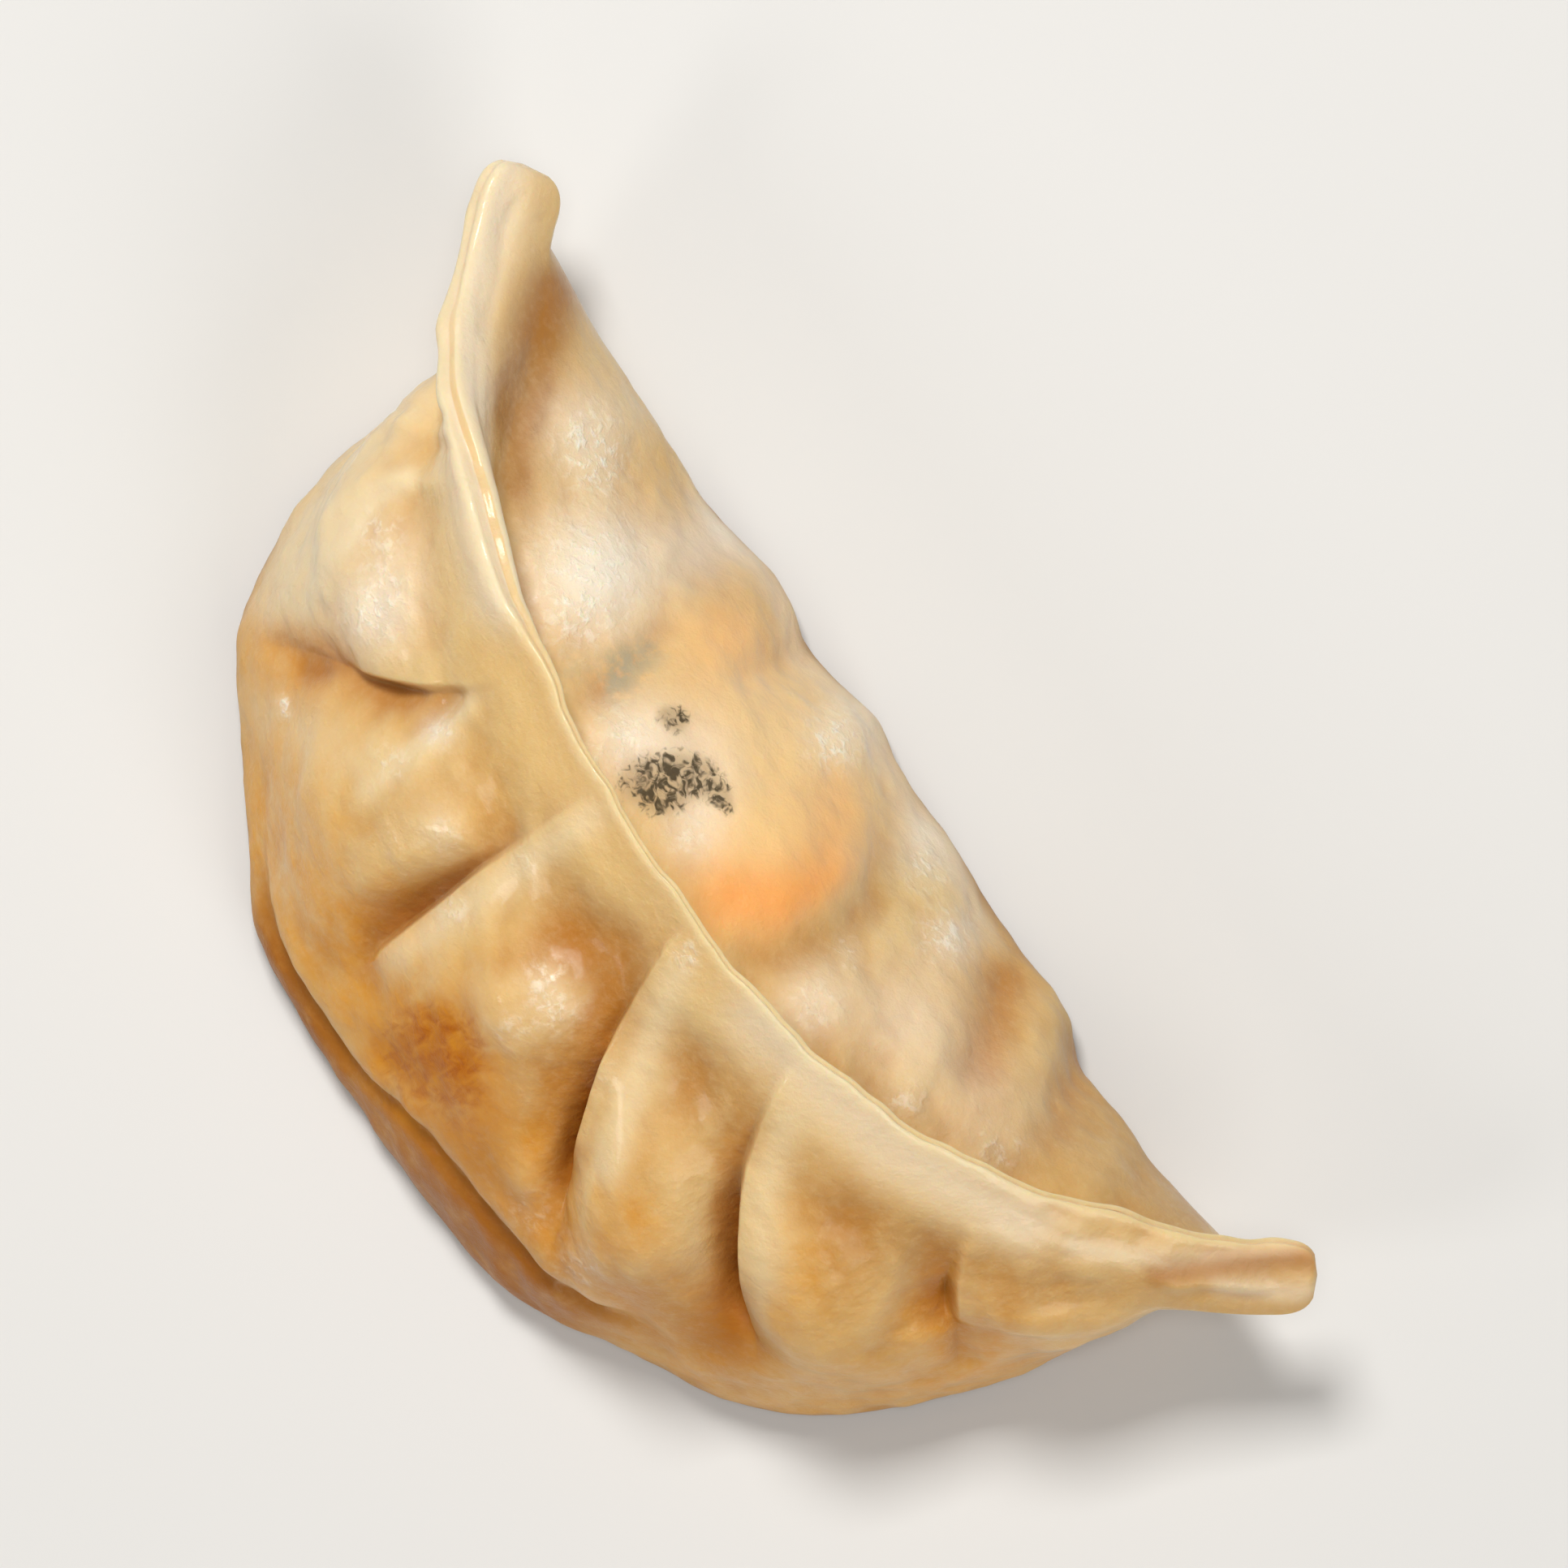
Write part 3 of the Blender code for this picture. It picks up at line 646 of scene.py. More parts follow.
front_down, back_down = down_from_lips(v_rows)
is_front = (v_rows > FRONT_LIP) & (v_rows < BASE_MIDDLE)
is_back = (v_rows > BASE_MIDDLE) & (v_rows < BACK_LIP)
lip_down = np.minimum(np.abs(front_down), np.abs(back_down))
x_grid = slanted_columns(places, np.where(is_front, front_down, 0.0))
form = smooth_surface(x_grid, v_rows)
along_x = np.gradient(form, axis=0)
along_v = np.gradient(form, axis=1)
along_v[:, 0] = along_v[:, -1] = form[:, 1] - form[:, -1]
outward = unit(np.cross(along_v, along_x))

pleats, slide, hollow = pleat_relief(x_grid, front_down)
blister_spots = spots(form, blisters())
streaks = flange_streaks(form, x_grid, lip_down)
skin = sum(tall * unevenness(form, size, seed) for tall, size, seed in SKIN_WAVES)
front_rise = (pleats + panel_puff(places, front_down) + rim_relief(x_grid, front_down)
              + spots(form, FRONT_LUMPS) + creases(form, FRONT_CREASES))
back_rise = back_foot(form[..., 0], back_down) + spots(form, BACK_LUMPS) + creases(form, BACK_CREASES)
back_rise = back_rise * ramp(back_down, *BACK_STARTS)
rise = np.where(is_front, front_rise, np.where(is_back, back_rise, 0.0))
off_plate = ramp(form[..., 2], 0.0, RELIEF_OFF_PLATE)
off_flange = ramp(lip_down, *FLANGE_GIVES_WAY)
share = off_plate * ramp(-np.abs(x_grid), -RELIEF_END, RELIEF_FADE)
tongue_lines = creases(form, TONGUE_CREASES) * (1.0 - off_flange)
fine = (blister_spots + skin) * off_flange * share + streaks + tongue_lines
fine = fine * ramp(-np.abs(x_grid), -FINE_END, FINE_FADE)
surface = form + outward * (rise * share + fine)[..., None]
surface = surface + unit(along_x) * (np.where(is_front, slide, 0.0) * share)[..., None]

grid_points = surface - np.array([MIDDLE_X, MIDDLE_Y, 0.0])
tips = grid_points[[0, -1]].mean(axis=1)
vertices = np.concatenate([grid_points[1:-1].reshape(-1, 3), tips]) * METRES
column, row = np.meshgrid(np.arange(COLUMNS - 1), np.arange(ROWS), indexing="ij")
this, following = column * ROWS, (column + 1) * ROWS
after = (row + 1) % ROWS
quads = np.stack([this + row, this + after, following + after, following + row], axis=-1).reshape(-1, 4)
ring = np.arange(ROWS)
next_ring = (ring + 1) % ROWS
left_tip = np.full(ROWS, COLUMNS * ROWS)
last_ring = (COLUMNS - 1) * ROWS
left_fan = np.stack([left_tip, next_ring, ring], axis=-1)
right_fan = np.stack([left_tip + 1, last_ring + ring, last_ring + next_ring], axis=-1)
wrapper_mesh = bpy.data.meshes.new("wrapper")
wrapper_mesh.from_pydata(vertices.tolist(), [], quads.tolist() + left_fan.tolist() + right_fan.tolist())
wrapper_mesh.update()
wrapper_mesh.shade_smooth()
wrapper = bpy.data.objects.new("wrapper", wrapper_mesh)
bpy.context.scene.collection.objects.link(wrapper)


def paint(name, values):
    """Stores a mask of the grid's columns by rows on the mesh, one number for each vertex."""
    inner = values[1:-1].reshape(-1)
    ends = values[[0, -1]].mean(axis=1)
    layer = wrapper_mesh.attributes.new(name, "FLOAT", "POINT")
    layer.data.foreach_set("value", np.clip(np.concatenate([inner, ends]), 0.0, 1.0).astype(np.float32))


# Where each colour lies, as seen from above in the same millimetres. A spot is its x, its y, its radius and
# its strength, and a path is its points, its width and its strength.
# The skin that the filling stretches until it looks white, with painted highlights on its bumps; on the
# front, painted highlights only.
PALE_SKIN_AND_HIGHLIGHTS_BACK = (
    (-18.0, -9.2, 3.8, 1.0), (-5.5, -9.0, 3.4, 0.75), (-9.0, -13.0, 2.6, 0.7), (9.0, -13.4, 2.2, 0.45),
    (-25.5, -5.0, 2.6, 0.5), (13.0, -9.5, 3.4, 0.5), (19.5, -9.0, 3.2, 0.3), (-2.5, -3.6, 1.8, 0.6),
    (-2.5, -12.5, 2.4, 0.6), (-16.0, -3.2, 2.4, 0.6), (5.0, -3.0, 1.6, 0.4), (11.0, -4.6, 1.6, 0.4),
)
PAINTED_HIGHLIGHTS_FRONT = (
    (-25.0, -18.0, 3.4, 0.3), (-23.4, -21.0, 2.4, 0.6), (-11.4, -25.0, 1.2, 0.2), (-0.3, -25.1, 1.5, 0.15),
    (-16.0, -22.0, 0.9, 0.4),
)
# The pale ridges of the pleats, and the left outline: paler dough with a painted highlight along the ridges.
PALE_RIDGES_AND_HIGHLIGHTS = (
    (((-31.9, -11.5), (-31.2, -17.0), (-29.3, -22.6), (-27.6, -25.6)), 1.9, 0.8),
    (((-28.6, -15.0), (-29.0, -17.2), (-28.0, -20.0)), 0.8, 1.0),
    (((-6.9, -17.5), (-6.8, -31.0)), 1.1, 0.7), (((3.4, -19.0), (6.2, -23.2), (10.0, -28.4)), 1.1, 0.7),
    (((13.6, -18.4), (16.4, -22.0), (20.6, -24.8)), 1.2, 0.6), (((-16.2, -19.6), (-15.4, -27.0)), 0.8, 0.6),
    (((-23.0, -29.5), (-18.0, -27.0)), 2.0, 0.4), (((-29.0, -20.6), (-26.2, -23.6)), 1.6, 0.8),
)
# The filling behind the back wall: shrimp, the paler filling round it, and herb flecks, near and deeper in.
SHRIMP = (
    (-10.5, -5.4, 2.4, 0.35), (0.8, -6.0, 2.2, 0.35), (3.9, -8.5, 2.2, 0.75), (3.4, -11.5, 2.2, 0.8),
    (1.4, -13.8, 2.0, 0.75),
)
SHRIMP_PALE = (
    (-10.5, -6.0, 2.8, 0.9), (-5.5, -6.4, 3.2, 1.0), (-0.5, -7.0, 3.4, 1.0), (0.0, -11.0, 3.0, 0.7),
)
HERB_DARK = (
    (-6.0, -12.2, 1.4, 0.9), (-5.0, -11.1, 1.1, 0.8), (-6.9, -14.0, 1.5, 0.9), (-8.6, -10.4, 0.8, 0.9),
    (-3.6, -10.8, 0.7, 0.7), (-2.7, -10.9, 0.5, 0.5), (-5.4, -13.6, 1.1, 0.7), (-9.3, -10.9, 0.5, 0.5),
)
HERB_GREY = (
    (-12.7, -9.8, 1.1, 0.6), (-12.3, -12.0, 1.2, 0.7), (-13.4, -11.2, 0.9, 0.4), (-14.5, -13.6, 1.2, 0.3),
)
# Painted shade in the valleys, dips and folds, and a duller brown painted shade in the folds and valleys of
# the back.
BACK_SHADE = (
    (((14.6, -3.6), (16.4, -6.0), (18.0, -7.6)), 1.8, 0.8), (((-32.4, -2.6), (-30.8, -4.4)), 1.3, 0.3),
    (((0.5, -13.2), (1.1, -13.8), (1.8, -13.2)), 0.4, 0.7),
)
BACK_DUN_SHADE = (
    (((19.5, -2.0), (25.0, -1.6), (32.0, -1.8)), 1.6, 0.6), (((24.0, -5.6), (31.0, -4.4)), 2.4, 0.4),
    (((-32.8, -2.0), (-31.0, -4.2), (-28.8, -7.0)), 2.1, 1.1), (((-28.8, -7.0), (-25.2, -9.8)), 1.6, 0.8),
    (((-25.2, -9.8), (-20.5, -12.4), (-16.0, -15.0)), 1.0, 0.5),
    (((5.0, -5.6), (6.6, -8.0), (6.6, -13.0)), 1.5, 0.4), (((-14.5, -4.0), (-11.0, -5.0)), 1.6, 0.5),
    (((8.0, -15.4), (16.0, -13.2), (24.0, -9.0)), 0.9, 0.3),
)
FRONT_SHADE = (
    (((-13.2, -23.0), (-13.0, -27.0)), 1.7, 0.3), (((-1.0, -23.5), (0.5, -27.5)), 2.4, 0.3),
    (((10.6, -25.5), (11.8, -28.5)), 2.0, 0.3), (((15.0, -31.5), (18.0, -30.0), (22.5, -28.5)), 2.6, 0.8),
    (((25.4, -15.8), (27.4, -17.8)), 1.1, 0.3), (((3.0, -22.0), (5.4, -26.5), (7.8, -31.0)), 1.8, 0.35),
    (((-2.5, -22.4), (-2.9, -27.0)), 1.1, 0.45), (((2.4, -23.0), (2.8, -28.0)), 1.0, 0.4),
    (((-10.0, -30.5), (-9.6, -34.0)), 1.8, 0.4), (((19.0, -18.2), (22.5, -21.0)), 2.0, 0.4),
    (((29.0, -10.5), (29.5, -15.0)), 2.6, 0.15), (((3.0, -34.8), (13.0, -34.4)), 1.5, 0.6),
    (((3.6, -29.0), (4.6, -33.0)), 2.0, 0.6), (((-26.4, -25.8), (-22.8, -25.4)), 2.3, 0.5),
    (((27.0, -18.0), (29.6, -15.5)), 1.8, 0.4), (((-14.4, -25.0), (-13.2, -30.0)), 1.1, 0.3),
)
# How much painted shade lies just below the flange, at places along the root line.
SHADE_UNDER_FLANGE = (
    (-20.0, 0.0), (-15.0, 0.15), (-9.0, 0.25), (-7.4, 0.15), (-4.5, 0.6), (-0.5, 1.1), (1.3, 0.9),
    (3.0, 0.25), (7.0, 0.75), (11.5, 0.8), (13.0, 0.2), (17.0, 0.6), (24.0, 0.7), (30.0, 0.3),
)
# Where the oil has fried the front golden.
GOLDEN_FRONT = (
    (-25.0, -26.0, 2.8, 1.0), (14.0, -30.5, 4.2, 0.8), (19.5, -21.5, 3.0, 0.5), (22.0, -24.0, 2.4, 0.6),
    (-13.5, -33.0, 4.5, 1.3), (-20.0, -30.0, 4.0, 0.5), (-7.0, -33.5, 3.0, 0.8), (4.0, -31.0, 3.0, 0.9),
    (14.0, -33.0, 4.0, 0.7), (-3.0, -31.0, 4.5, 0.8), (7.5, -33.6, 2.6, 0.9), (28.5, -17.0, 3.0, 1.1),
    (22.0, -31.0, 3.0, 0.5),
)
# The dry, pale edge of the flange on the back and at the tongues.
TONGUE_PALE = (
    (((-41.5, 1.0), (-38.5, -2.0), (-34.5, -7.0), (-29.0, -10.8), (-20.0, -14.2)), 2.0, 1.0),
    (((8.0, -16.2), (18.0, -14.4), (26.0, -10.8)), 2.2, 0.7),
    (((29.0, -9.2), (33.0, -5.2), (36.4, 0.6)), 0.8, 0.5), (((35.8, -3.6), (39.4, 0.4)), 0.8, 0.6),
)
# Painted shade in the deepest folds.
DEEP_FOLD_SHADE = (
    (((21.8, -28.0), (20.2, -27.0)), 1.4, 0.9), (((9.2, -30.8), (8.2, -29.2)), 0.8, 0.6),
    (((-32.8, -2.0), (-31.4, -4.2)), 1.0, 0.4), (((33.2, -6.4), (35.4, -2.2), (37.4, 1.2)), 0.9, 0.75),
    (((-1.2, -22.2), (0.8, -22.2)), 1.3, 0.3), (((-22.2, -24.4), (-22.9, -26.0)), 0.8, 0.6),
)
# Wet, finely blistered places that glisten: painted highlights, which also get more coat and a rougher bump.
GLINTS = (
    (-27.2, -18.0, 1.2, 0.6), (-23.4, -21.0, 1.5, 1.0), (-25.0, -19.0, 1.5, 0.5), (-10.8, -25.0, 1.1, 0.4),
    (-12.4, -27.4, 1.0, 0.2), (-1.0, -24.9, 1.1, 0.75), (0.8, -25.6, 1.2, 0.7), (0.4, -28.2, 0.9, 0.5),
    (-15.6, -21.8, 0.9, 0.7), (-16.0, -25.0, 1.0, 0.5), (-7.0, -22.0, 0.8, 0.4), (-7.0, -27.0, 0.9, 0.5),
    (2.6, -17.6, 0.8, 0.8), (5.6, -25.4, 0.8, 0.4), (14.0, -33.2, 1.4, 0.35), (9.5, -33.6, 1.2, 0.3),
    (-22.3, -28.4, 0.4, 2.0), (-18.6, -9.4, 2.6, 1.0), (-16.6, -11.6, 1.8, 0.7), (-24.6, -5.4, 1.8, 1.0),
    (-22.8, -5.9, 1.2, 0.7), (-2.5, -3.7, 1.5, 1.0), (6.6, -3.6, 1.3, 0.7), (10.4, -5.0, 1.4, 0.8),
    (9.2, -13.4, 1.2, 0.8), (-9.6, -13.6, 1.8, 0.7), (-3.0, -13.6, 1.2, 0.6), (8.0, -10.2, 0.9, 0.6),
    (22.0, -9.4, 1.3, 0.5), (16.6, -12.2, 1.2, 0.5),
)
# The browned patch on the front, over the rim.
SEAR = (
    (-1.3, -31.6, 1.8, 0.6), (-1.2, -32.8, 3.6, 0.55), (1.4, -32.2, 2.2, 0.3), (-3.4, -33.4, 2.2, 0.2),
    (-0.8, -34.8, 3.4, 0.35), (4.4, -33.2, 2.6, 0.35),
)

# Where the broader masks start and how far on they are full or gone, in millimetres down from the lips, along
# x or up from the plate, and how strong they are.
LIP_LINE_WIDTH = 0.55
THIN_BACK_ENDS = (2.6, 2.4)
THIN_FRONT_ENDS = (3.2, 5.0)
THIN_TONGUES = (30.0, 7.5)
SHRIMP_END_X = 5.0
SHRIMP_END_Y = -9.0
SHRIMP_END_SLANT = 0.12
SHRIMP_END_SOFT = (-1.0, 2.4)
LOW_FRONT = (14.0, 14.0)
RIGHT_FRONT_DOWN = (6.0, 8.0)
RIGHT_FRONT_ALONG = (14.0, 12.0)
CONTACT_ENDS = (0.4, 3.4)
RIM_BAND = (-0.6, 1.2)
FOOT_RIM_LIGHT = 0.45
FOOT_DOWN = (24.0, 4.0)
FOOT_UP = (1.0, 3.0)
FOOT_MIDDLE = -4.0
FOOT_ALONG = (-18.0, 6.0)
TONGUE_PALE_SHARE = 0.9
TONGUE_PALE_ENDS = (4.0, 6.0)
GOLDEN_SHARE = 0.35
GOLDEN_LOW_ALONG = (-27.0, 12.0)
FOLD_GAIN = 1.2
FOLD_STARTS = (5.0, 9.0)
DULL_ENDS = (1.5, 7.0)
CAVITY_UP = (0.5, 2.0)
CAVITY_LEFT_LESS = 0.8
CAVITY_LEFT = (26.0, 4.0)
RAISED_LOW_LESS = 0.7
UNDERSIDE_ENDS = (0.2, 1.6)
UNDER_FLANGE_STARTS = (3.0, 4.2)
UNDER_FLANGE_ENDS = (7.4, 4.5)
UNDER_FLANGE_SHADE_SHARE = 0.55
UNDER_FLANGE_DUN_SHARE = 0.6
LOW_AND_RIGHT_SHADE = 0.12
CONTACT_SHADE = 0.8
BASE_ENDS = (0.0, 0.35)

across_x, across_y, above = surface[..., 0], surface[..., 1], surface[..., 2]
lip_line = np.exp(-(lip_down / LIP_LINE_WIDTH) ** 2) * np.ones_like(x_grid)
thin = np.where(is_back, 1.0 - ramp(back_down, *THIN_BACK_ENDS), 1.0 - ramp(front_down, *THIN_FRONT_ENDS))
thin = np.maximum(thin * np.ones_like(x_grid), ramp(np.abs(x_grid), *THIN_TONGUES))
shrimp_end = SHRIMP_END_X - SHRIMP_END_SLANT * (across_y - SHRIMP_END_Y)
shrimp_edge = ramp(shrimp_end - across_x, *SHRIMP_END_SOFT)
centre, along = rim_centre(x_grid)
low = np.where(is_front, ramp(front_down, *LOW_FRONT), 0.0)
right_front = np.where(is_front, ramp(front_down, *RIGHT_FRONT_DOWN) * ramp(x_grid, *RIGHT_FRONT_ALONG), 0.0)
contact = 1.0 - ramp(above, *CONTACT_ENDS)
rim_band = np.where(is_front, ramp(front_down - centre, *RIM_BAND) * along, 0.0)
# A painted rim of light along the foot of the back, added to the pale skin and painted highlights.
foot_along = ramp(-np.abs(across_x - FOOT_MIDDLE), *FOOT_ALONG)
painted_foot_rim_light = FOOT_RIM_LIGHT * ramp(back_down, *FOOT_DOWN) * ramp(above, *FOOT_UP) * foot_along
pale_skin_and_highlights_back = spots(surface, PALE_SKIN_AND_HIGHLIGHTS_BACK) + painted_foot_rim_light
paint("pale", np.where(is_back, pale_skin_and_highlights_back, spots(surface, PAINTED_HIGHLIGHTS_FRONT)) * off_flange)
near_lips = 1.0 - ramp(lip_down, *TONGUE_PALE_ENDS)
paint("tongue_pale", TONGUE_PALE_SHARE * creases(surface, TONGUE_PALE) * thin * near_lips)
paint("glint", spots(surface, GLINTS) * np.where(is_front | is_back, 1.0, 0.0))
golden_low = GOLDEN_SHARE * low * ramp(x_grid, *GOLDEN_LOW_ALONG)
golden = spots(surface, GOLDEN_FRONT) + golden_low + GOLDEN_SHARE * right_front
paint("golden", np.where(is_front, golden, 0.0))
paint("thin", thin)
paint("lip", lip_line)
# Painted shade in the pleats' folds, from a little below the flange, and in the deepest folds.
folds = np.where(is_front, hollow * ramp(front_down, *FOLD_STARTS) * FOLD_GAIN, 0.0)
paint("hollow", folds + creases(surface, DEEP_FOLD_SHADE))
paint("low", 1.0 - ramp(above, *DULL_ENDS))
# Painted shade where the relief sinks in, and painted light where it stands out, partly the paler stretched
# skin of its bumps.
facing = unit(np.cross(np.gradient(surface, axis=1), np.gradient(surface, axis=0)))
cavity = (hollowness(surface, facing) - hollowness(form, outward)) / CAVITY_FULL
cavity = cavity * np.where(is_front | is_back, 1.0, 0.0) * ramp(above, *CAVITY_UP)
cavity = cavity * (1.0 - CAVITY_LEFT_LESS * ramp(-x_grid, *CAVITY_LEFT))
paint("sunk_shade", cavity)
paint("bump_pale_and_light", -cavity * (1.0 - RAISED_LOW_LESS * low))
# Paler dough on the pleats' ridges and the left outline, with painted highlights along them.
paint("ridge_pale_and_highlight", np.where(is_front, creases(surface, PALE_RIDGES_AND_HIGHLIGHTS), 0.0))
# Painted shade near the plate, fullest at the bottom.
paint("under", 1.0 - ramp(above, *UNDERSIDE_ENDS))
# Painted shade just below the flange, in a warm and a duller brown.
shade_under_flange = np.interp(places, *zip(*SHADE_UNDER_FLANGE))[:, None] * ramp(front_down, *UNDER_FLANGE_STARTS)
shade_under_flange = shade_under_flange * (1.0 - ramp(front_down, *UNDER_FLANGE_ENDS))
# Painted shade on the front: along paths, below the flange, low down, and on the right-hand faces turned from
# the light.
front_shade = creases(surface, FRONT_SHADE) + UNDER_FLANGE_SHADE_SHARE * shade_under_flange + LOW_AND_RIGHT_SHADE * low + LOW_AND_RIGHT_SHADE * right_front
paint("painted_shade", np.where(is_back, creases(surface, BACK_SHADE), front_shade))
paint("dun_shade", np.where(is_back, creases(surface, BACK_DUN_SHADE), UNDER_FLANGE_DUN_SHARE * shade_under_flange))
# The seared rim's brown below its crease, and painted shade near the plate.
paint("rim", np.maximum(rim_band, CONTACT_SHADE * contact))
paint("sear", np.where(is_front, spots(surface, SEAR), 0.0))
paint("shrimp", np.where(is_back, spots(surface, SHRIMP), 0.0) * shrimp_edge)
paint("shrimp_pale", np.where(is_back, spots(surface, SHRIMP_PALE), 0.0) * shrimp_edge)
paint("herb", np.where(is_back, spots(surface, HERB_DARK), 0.0))
paint("herb_grey", np.where(is_back, spots(surface, HERB_GREY), 0.0))
paint("base", 1.0 - ramp(above, *BASE_ENDS))


def srgb(red, green, blue):
    """A colour given as 0 to 255 in the way screens show it, as the linear colour that a shader takes."""
    shown = np.array([red, green, blue]) / 255.0
    linear = np.where(shown <= 0.04045, shown / 12.92, ((shown + 0.055) / 1.055) ** 2.4)
    return (*linear.tolist(), 1.0)


# The dough's colours, pale and browned, the painted shade and painted highlights on it, and those of the
# filling as they show through it.
CREAM = srgb(232, 204, 148)
WHEAT = srgb(222, 176, 104)
FLANGE_YELLOW = srgb(228, 194, 132)
LIP_PALE = srgb(242, 223, 182)
DUN_SHADE = srgb(166, 116, 58)
SHADE_BROWN = srgb(190, 123, 42)
TONGUE_CREAM = srgb(240, 227, 200)
FOLD_SHADE_BROWN = srgb(166, 98, 24)
PLATE_SHADE_BROWN = srgb(104, 62, 26)
SEARED_RIM_AND_SHADE = srgb(164, 100, 30)
GOLDEN = srgb(232, 166, 64)
AMBER = srgb(214, 142, 40)
SEARED = srgb(184, 100, 8)
SCORCHED = srgb(128, 62, 6)
SHRIMP_ORANGE = srgb(250, 176, 102)
SHRIMP_GOLD = srgb(253, 212, 150)
SKIN_WHITE_AND_HIGHLIGHT = srgb(251, 240, 222)
GLINT_WHITE = srgb(255, 246, 226)
HERB_GREEN = srgb(66, 56, 38)
HERB_STAIN = srgb(168, 142, 104)
HERB_VEILED = srgb(170, 166, 142)

dough = bpy.data.materials.new("dough")
dough.use_nodes = True
tree = dough.node_tree
shader = tree.nodes["Principled BSDF"]


def add(kind, **settings):
    """A new node of the dough material, with its properties set."""
    made = tree.nodes.new(kind)
    for key, value in settings.items():
        setattr(made, key, value)
    return made


def feed(socket, value):
    """Joins an output to a socket, or sets the socket to a plain value."""
    if isinstance(value, bpy.types.NodeSocket):
        tree.links.new(value, socket)
    else:
        socket.default_value = value


def mask(name):
    """The mask of this name, from the mesh."""
    return add("ShaderNodeAttribute", attribute_name=name).outputs["Fac"]


def math_of(operation, first, second=0.0, clamp=False):
    """One number worked out from two."""
    made = add("ShaderNodeMath", operation=operation, use_clamp=clamp)
    feed(made.inputs[0], first)
    feed(made.inputs[1], second)
    return made.outputs[0]


def blend_colours(share, first, second):
    """The first colour going over to the second by share."""
    made = add("ShaderNodeMix", data_type="RGBA")
    feed(made.inputs["Factor"], share)
    feed(made.inputs[6], first)
    feed(made.inputs[7], second)
    return made.outputs[2]


def ramped(value, low_end, high_end, smooth=True):
    """0 where value is under low_end, 1 over high_end."""
    made = add("ShaderNodeMapRange", interpolation_type="SMOOTHSTEP" if smooth else "LINEAR")
    feed(made.inputs["Value"], value)
    made.inputs["From Min"].default_value = low_end
    made.inputs["From Max"].default_value = high_end
    return made.outputs["Result"]


object_place = add("ShaderNodeTexCoord").outputs["Object"]


def noise(scale, detail=3.0, roughness=0.5, distortion=0.0, place=object_place):
    """A noise pattern in the gyoza's own place, scale in waves for each metre."""
    made = add("ShaderNodeTexNoise")
    feed(made.inputs["Vector"], place)
    made.inputs["Scale"].default_value = scale
    made.inputs["Detail"].default_value = detail
    made.inputs["Roughness"].default_value = roughness
    made.inputs["Distortion"].default_value = distortion
    return made.outputs["Fac"]


# Broad pale and darker clouds, the mottling of the skin, and its grain.
cloud = noise(110.0, 2.0, 0.5)
mottle = noise(520.0, 4.0, 0.6)
grain = noise(1500.0, 4.0, 0.65)


def broken(share, low_end=0.0, high_end=0.75):
    """The share, made uneven by the mottling."""
    return math_of("MULTIPLY", share, ramped(mottle, low_end, high_end), clamp=True)


def part_of(name, share):
    """The mask of this name, times a share."""
    return math_of("MULTIPLY", mask(name), share)


# The dough's layers of colour, the lowest first, each by how much of it shows. Some are painted shade in
# folds, hollows, valleys and near the plate, and some painted highlights on bumps, ridges and wet places.
speckles = math_of("MULTIPLY", ramped(noise(1900.0, 3.0, 0.6), 0.4, 0.8), 0.12)
LAYERS = (
    (broken(mask("golden")), GOLDEN), (part_of("thin", 0.8), FLANGE_YELLOW), (part_of("painted_shade", 0.9), SHADE_BROWN),
    (part_of("dun_shade", 0.9), DUN_SHADE), (part_of("sunk_shade", 0.7), SHADE_BROWN), (part_of("bump_pale_and_light", 0.55), CREAM),
    # The white layer below is the stretched skin and painted highlights.
    (part_of("ridge_pale_and_highlight", 0.8), LIP_PALE), (speckles, LIP_PALE), (part_of("pale", 0.9), SKIN_WHITE_AND_HIGHLIGHT),
    (mask("tongue_pale"), TONGUE_CREAM), (part_of("lip", 0.5), LIP_PALE),
    (part_of("shrimp_pale", 0.85), SHRIMP_GOLD), (broken(mask("shrimp"), -0.6, 0.5), SHRIMP_ORANGE),
    (part_of("hollow", 0.85), FOLD_SHADE_BROWN), (broken(mask("rim"), -0.2, 0.6), SEARED_RIM_AND_SHADE),
    (part_of("under", 0.8), PLATE_SHADE_BROWN),
)
colour = blend_colours(ramped(cloud, 0.2, 0.85), WHEAT, CREAM)
for layer_share, layer_colour in LAYERS:
    colour = blend_colours(layer_share, colour, layer_colour)

# The browned patch, toasted amber in clouds with scorched flecks in it, and the seared base.
sear_mask = math_of("ADD", mask("sear"), part_of("base", 0.8))
stretched = add("ShaderNodeMapping")
feed(stretched.inputs["Vector"], object_place)
stretched.inputs["Scale"].default_value = (1.2, 0.6, 0.6)


def both_ways(pattern, contrast):
    """A noise pattern as a number below and above 0, this much apart."""
    return math_of("MULTIPLY", math_of("SUBTRACT", pattern, 0.5), contrast)


scorching = both_ways(noise(1000.0, 4.0, 0.6, 0.7, stretched.outputs[0]), 2.2)
scorching = math_of("MULTIPLY", scorching, ramped(sear_mask, 0.2, 0.8))
toasting = both_ways(noise(380.0, 3.0, 0.55, 0.5), 2.0)
toasting = math_of("MULTIPLY", toasting, ramped(sear_mask, 0.05, 0.5))
toasted = math_of("ADD", sear_mask, toasting)
scorched = math_of("ADD", math_of("MULTIPLY", sear_mask, 0.85), scorching)
colour = blend_colours(ramped(toasted, -0.05, 0.9, smooth=False), colour, AMBER)
colour = blend_colours(math_of("MULTIPLY", ramped(scorched, 0.2, 1.3), 0.95), colour, SEARED)
colour = blend_colours(math_of("MULTIPLY", ramped(scorched, 0.95, 1.8), 0.7), colour, SCORCHED)

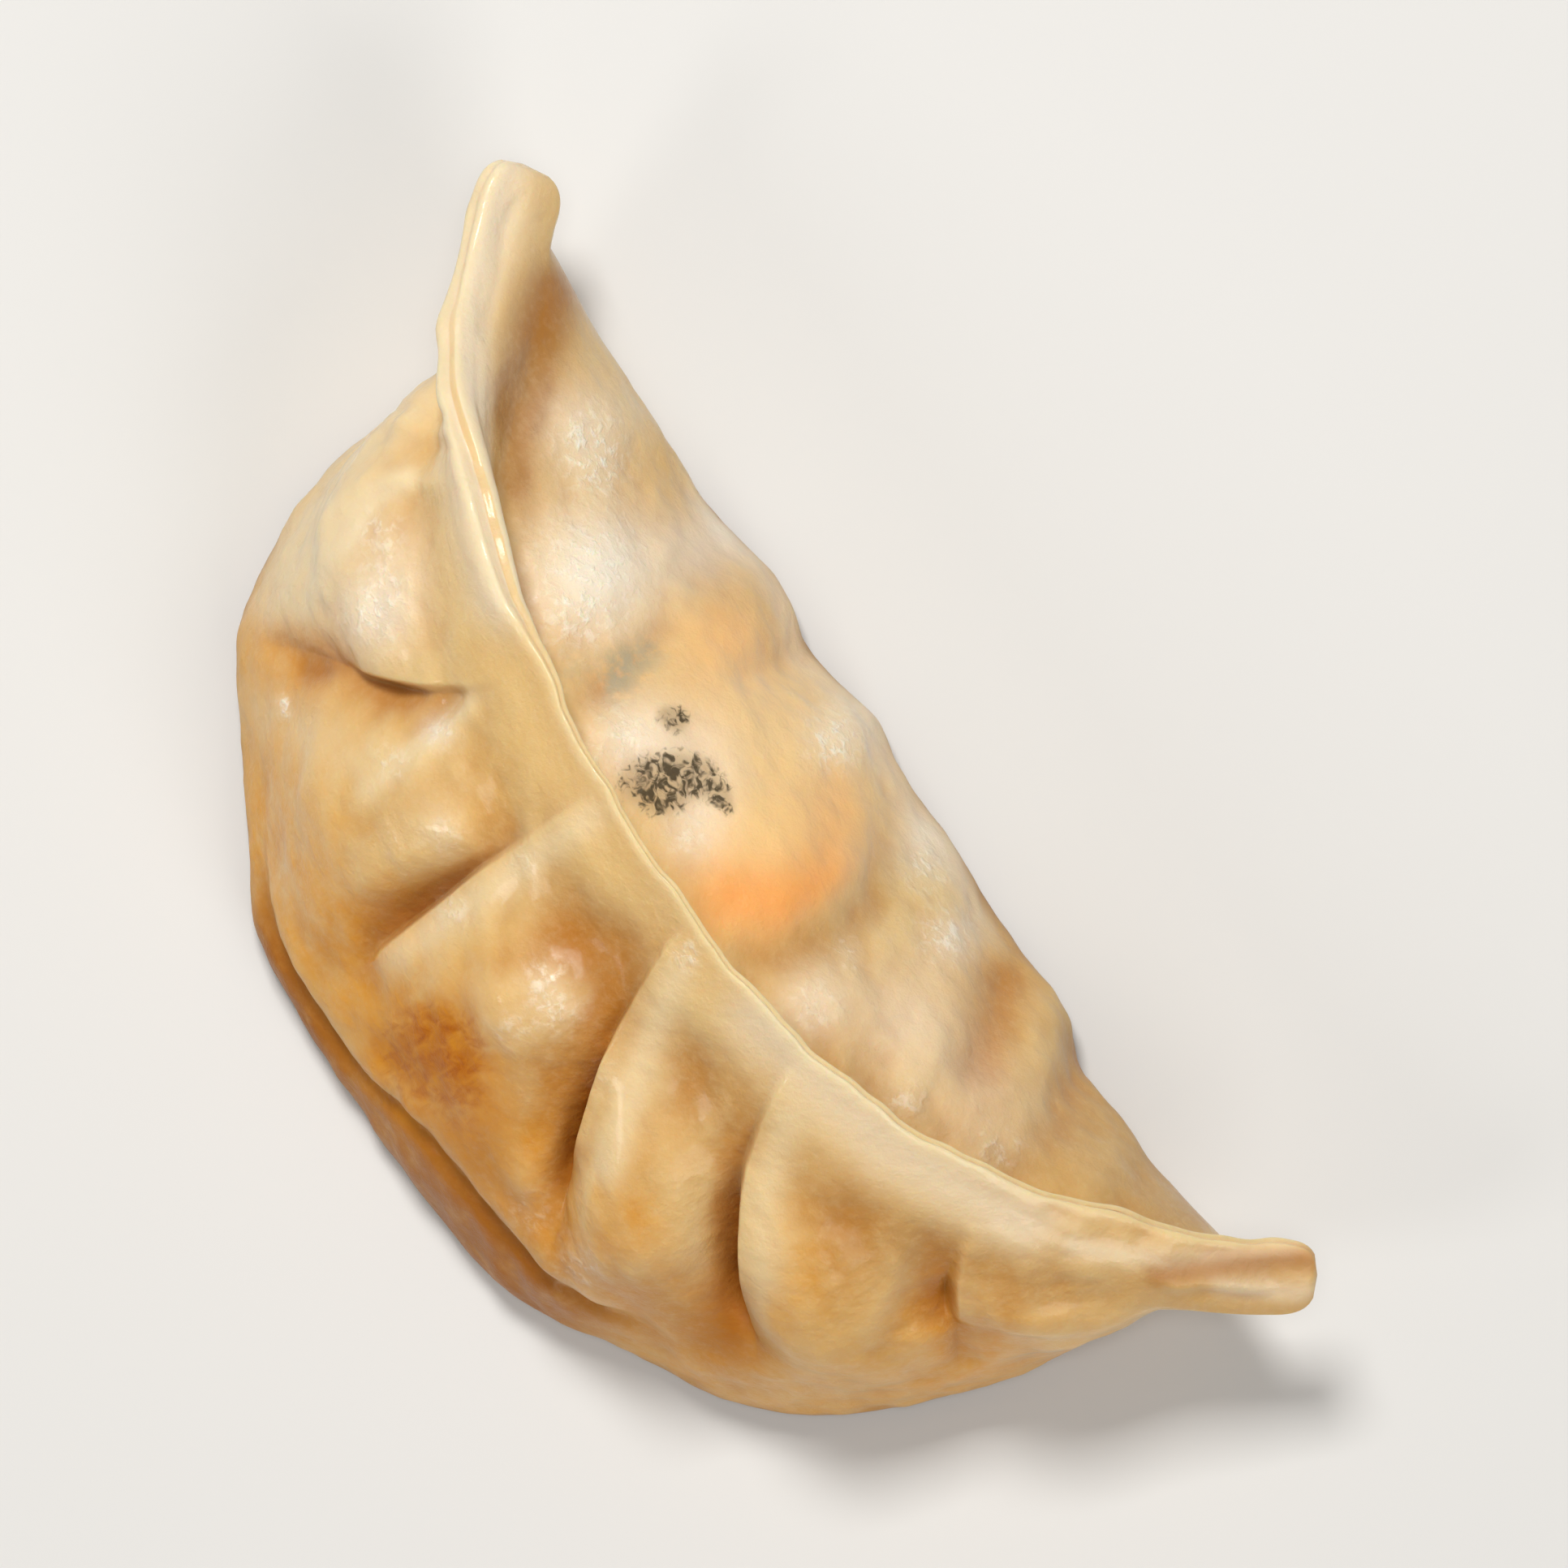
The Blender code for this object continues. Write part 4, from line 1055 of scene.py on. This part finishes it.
# Painted highlights on the wet blistered places, whitest on their bubbles.
bubbles = ramped(noise(1500.0, 3.0, 0.6, 0.3), 0.45, 0.7)
bubbling = math_of("ADD", math_of("MULTIPLY", bubbles, 0.75), 0.2)
glint_share = math_of("MULTIPLY", mask("glint"), bubbling, clamp=True)
colour = blend_colours(glint_share, colour, GLINT_WHITE)

# The herb: a grey veil where it lies deep, a stain round the flecks that lie near, and the flecks.
veil = math_of("MULTIPLY", mask("herb_grey"), ramped(noise(900.0, 3.0, 0.6), 0.3, 0.6), clamp=True)
colour = blend_colours(veil, colour, HERB_VEILED)
colour = blend_colours(math_of("MULTIPLY", ramped(mask("herb"), 0.1, 0.8), 0.55), colour, HERB_STAIN)
crumbs = both_ways(noise(1650.0, 2.0, 0.5, 1.2), 4.2)
herb_share = ramped(math_of("ADD", mask("herb"), crumbs), 0.4, 1.4)
herb_share = math_of("MULTIPLY", herb_share, ramped(mask("herb"), 0.15, 0.5))
colour = blend_colours(math_of("MULTIPLY", herb_share, 0.9), colour, HERB_GREEN)
feed(shader.inputs["Base Color"], colour)

# A film of oil, patchy as the clouds are, that the folds, the foot and the browned patch lack.
wet = ramped(cloud, 0.3, 0.75)
dull = math_of("MAXIMUM", math_of("MAXIMUM", mask("hollow"), mask("low")), mask("sear"))
dull = math_of("MAXIMUM", dull, part_of("painted_shade", 0.7))
glossy = math_of("SUBTRACT", 1.0, dull, clamp=True)
feed(shader.inputs["Roughness"], math_of("ADD", math_of("MULTIPLY", wet, -0.1), 0.45))
oily = math_of("ADD", math_of("ADD", math_of("MULTIPLY", wet, 0.35), 0.3), mask("glint"))
feed(shader.inputs["Coat Weight"], math_of("MULTIPLY", oily, glossy, clamp=True))
shader.inputs["Coat Roughness"].default_value = 0.11
shader.inputs["Coat IOR"].default_value = 1.42
shader.inputs["IOR"].default_value = 1.34
shader.inputs["Specular IOR Level"].default_value = 0.25
shader.inputs["Subsurface Weight"].default_value = 0.45
shader.inputs["Subsurface Radius"].default_value = (1.0, 0.5, 0.2)
shader.inputs["Subsurface Scale"].default_value = 0.0016

# The skin's fine bumps, rougher where it glistens.
fine_bump = add("ShaderNodeBump")
wrinkled = math_of("MULTIPLY", mask("glint"), math_of("ADD", bubbles, mottle))
bumps = math_of("ADD", mottle, math_of("MULTIPLY", grain, 0.4))
bumps = math_of("ADD", bumps, math_of("MULTIPLY", wrinkled, 0.35))
feed(fine_bump.inputs["Height"], bumps)
fine_bump.inputs["Strength"].default_value = 0.65
fine_bump.inputs["Distance"].default_value = 0.0003
feed(shader.inputs["Normal"], fine_bump.outputs["Normal"])

wrapper_mesh.materials.append(dough)
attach(wrapper, "root")
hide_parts("gyoza")
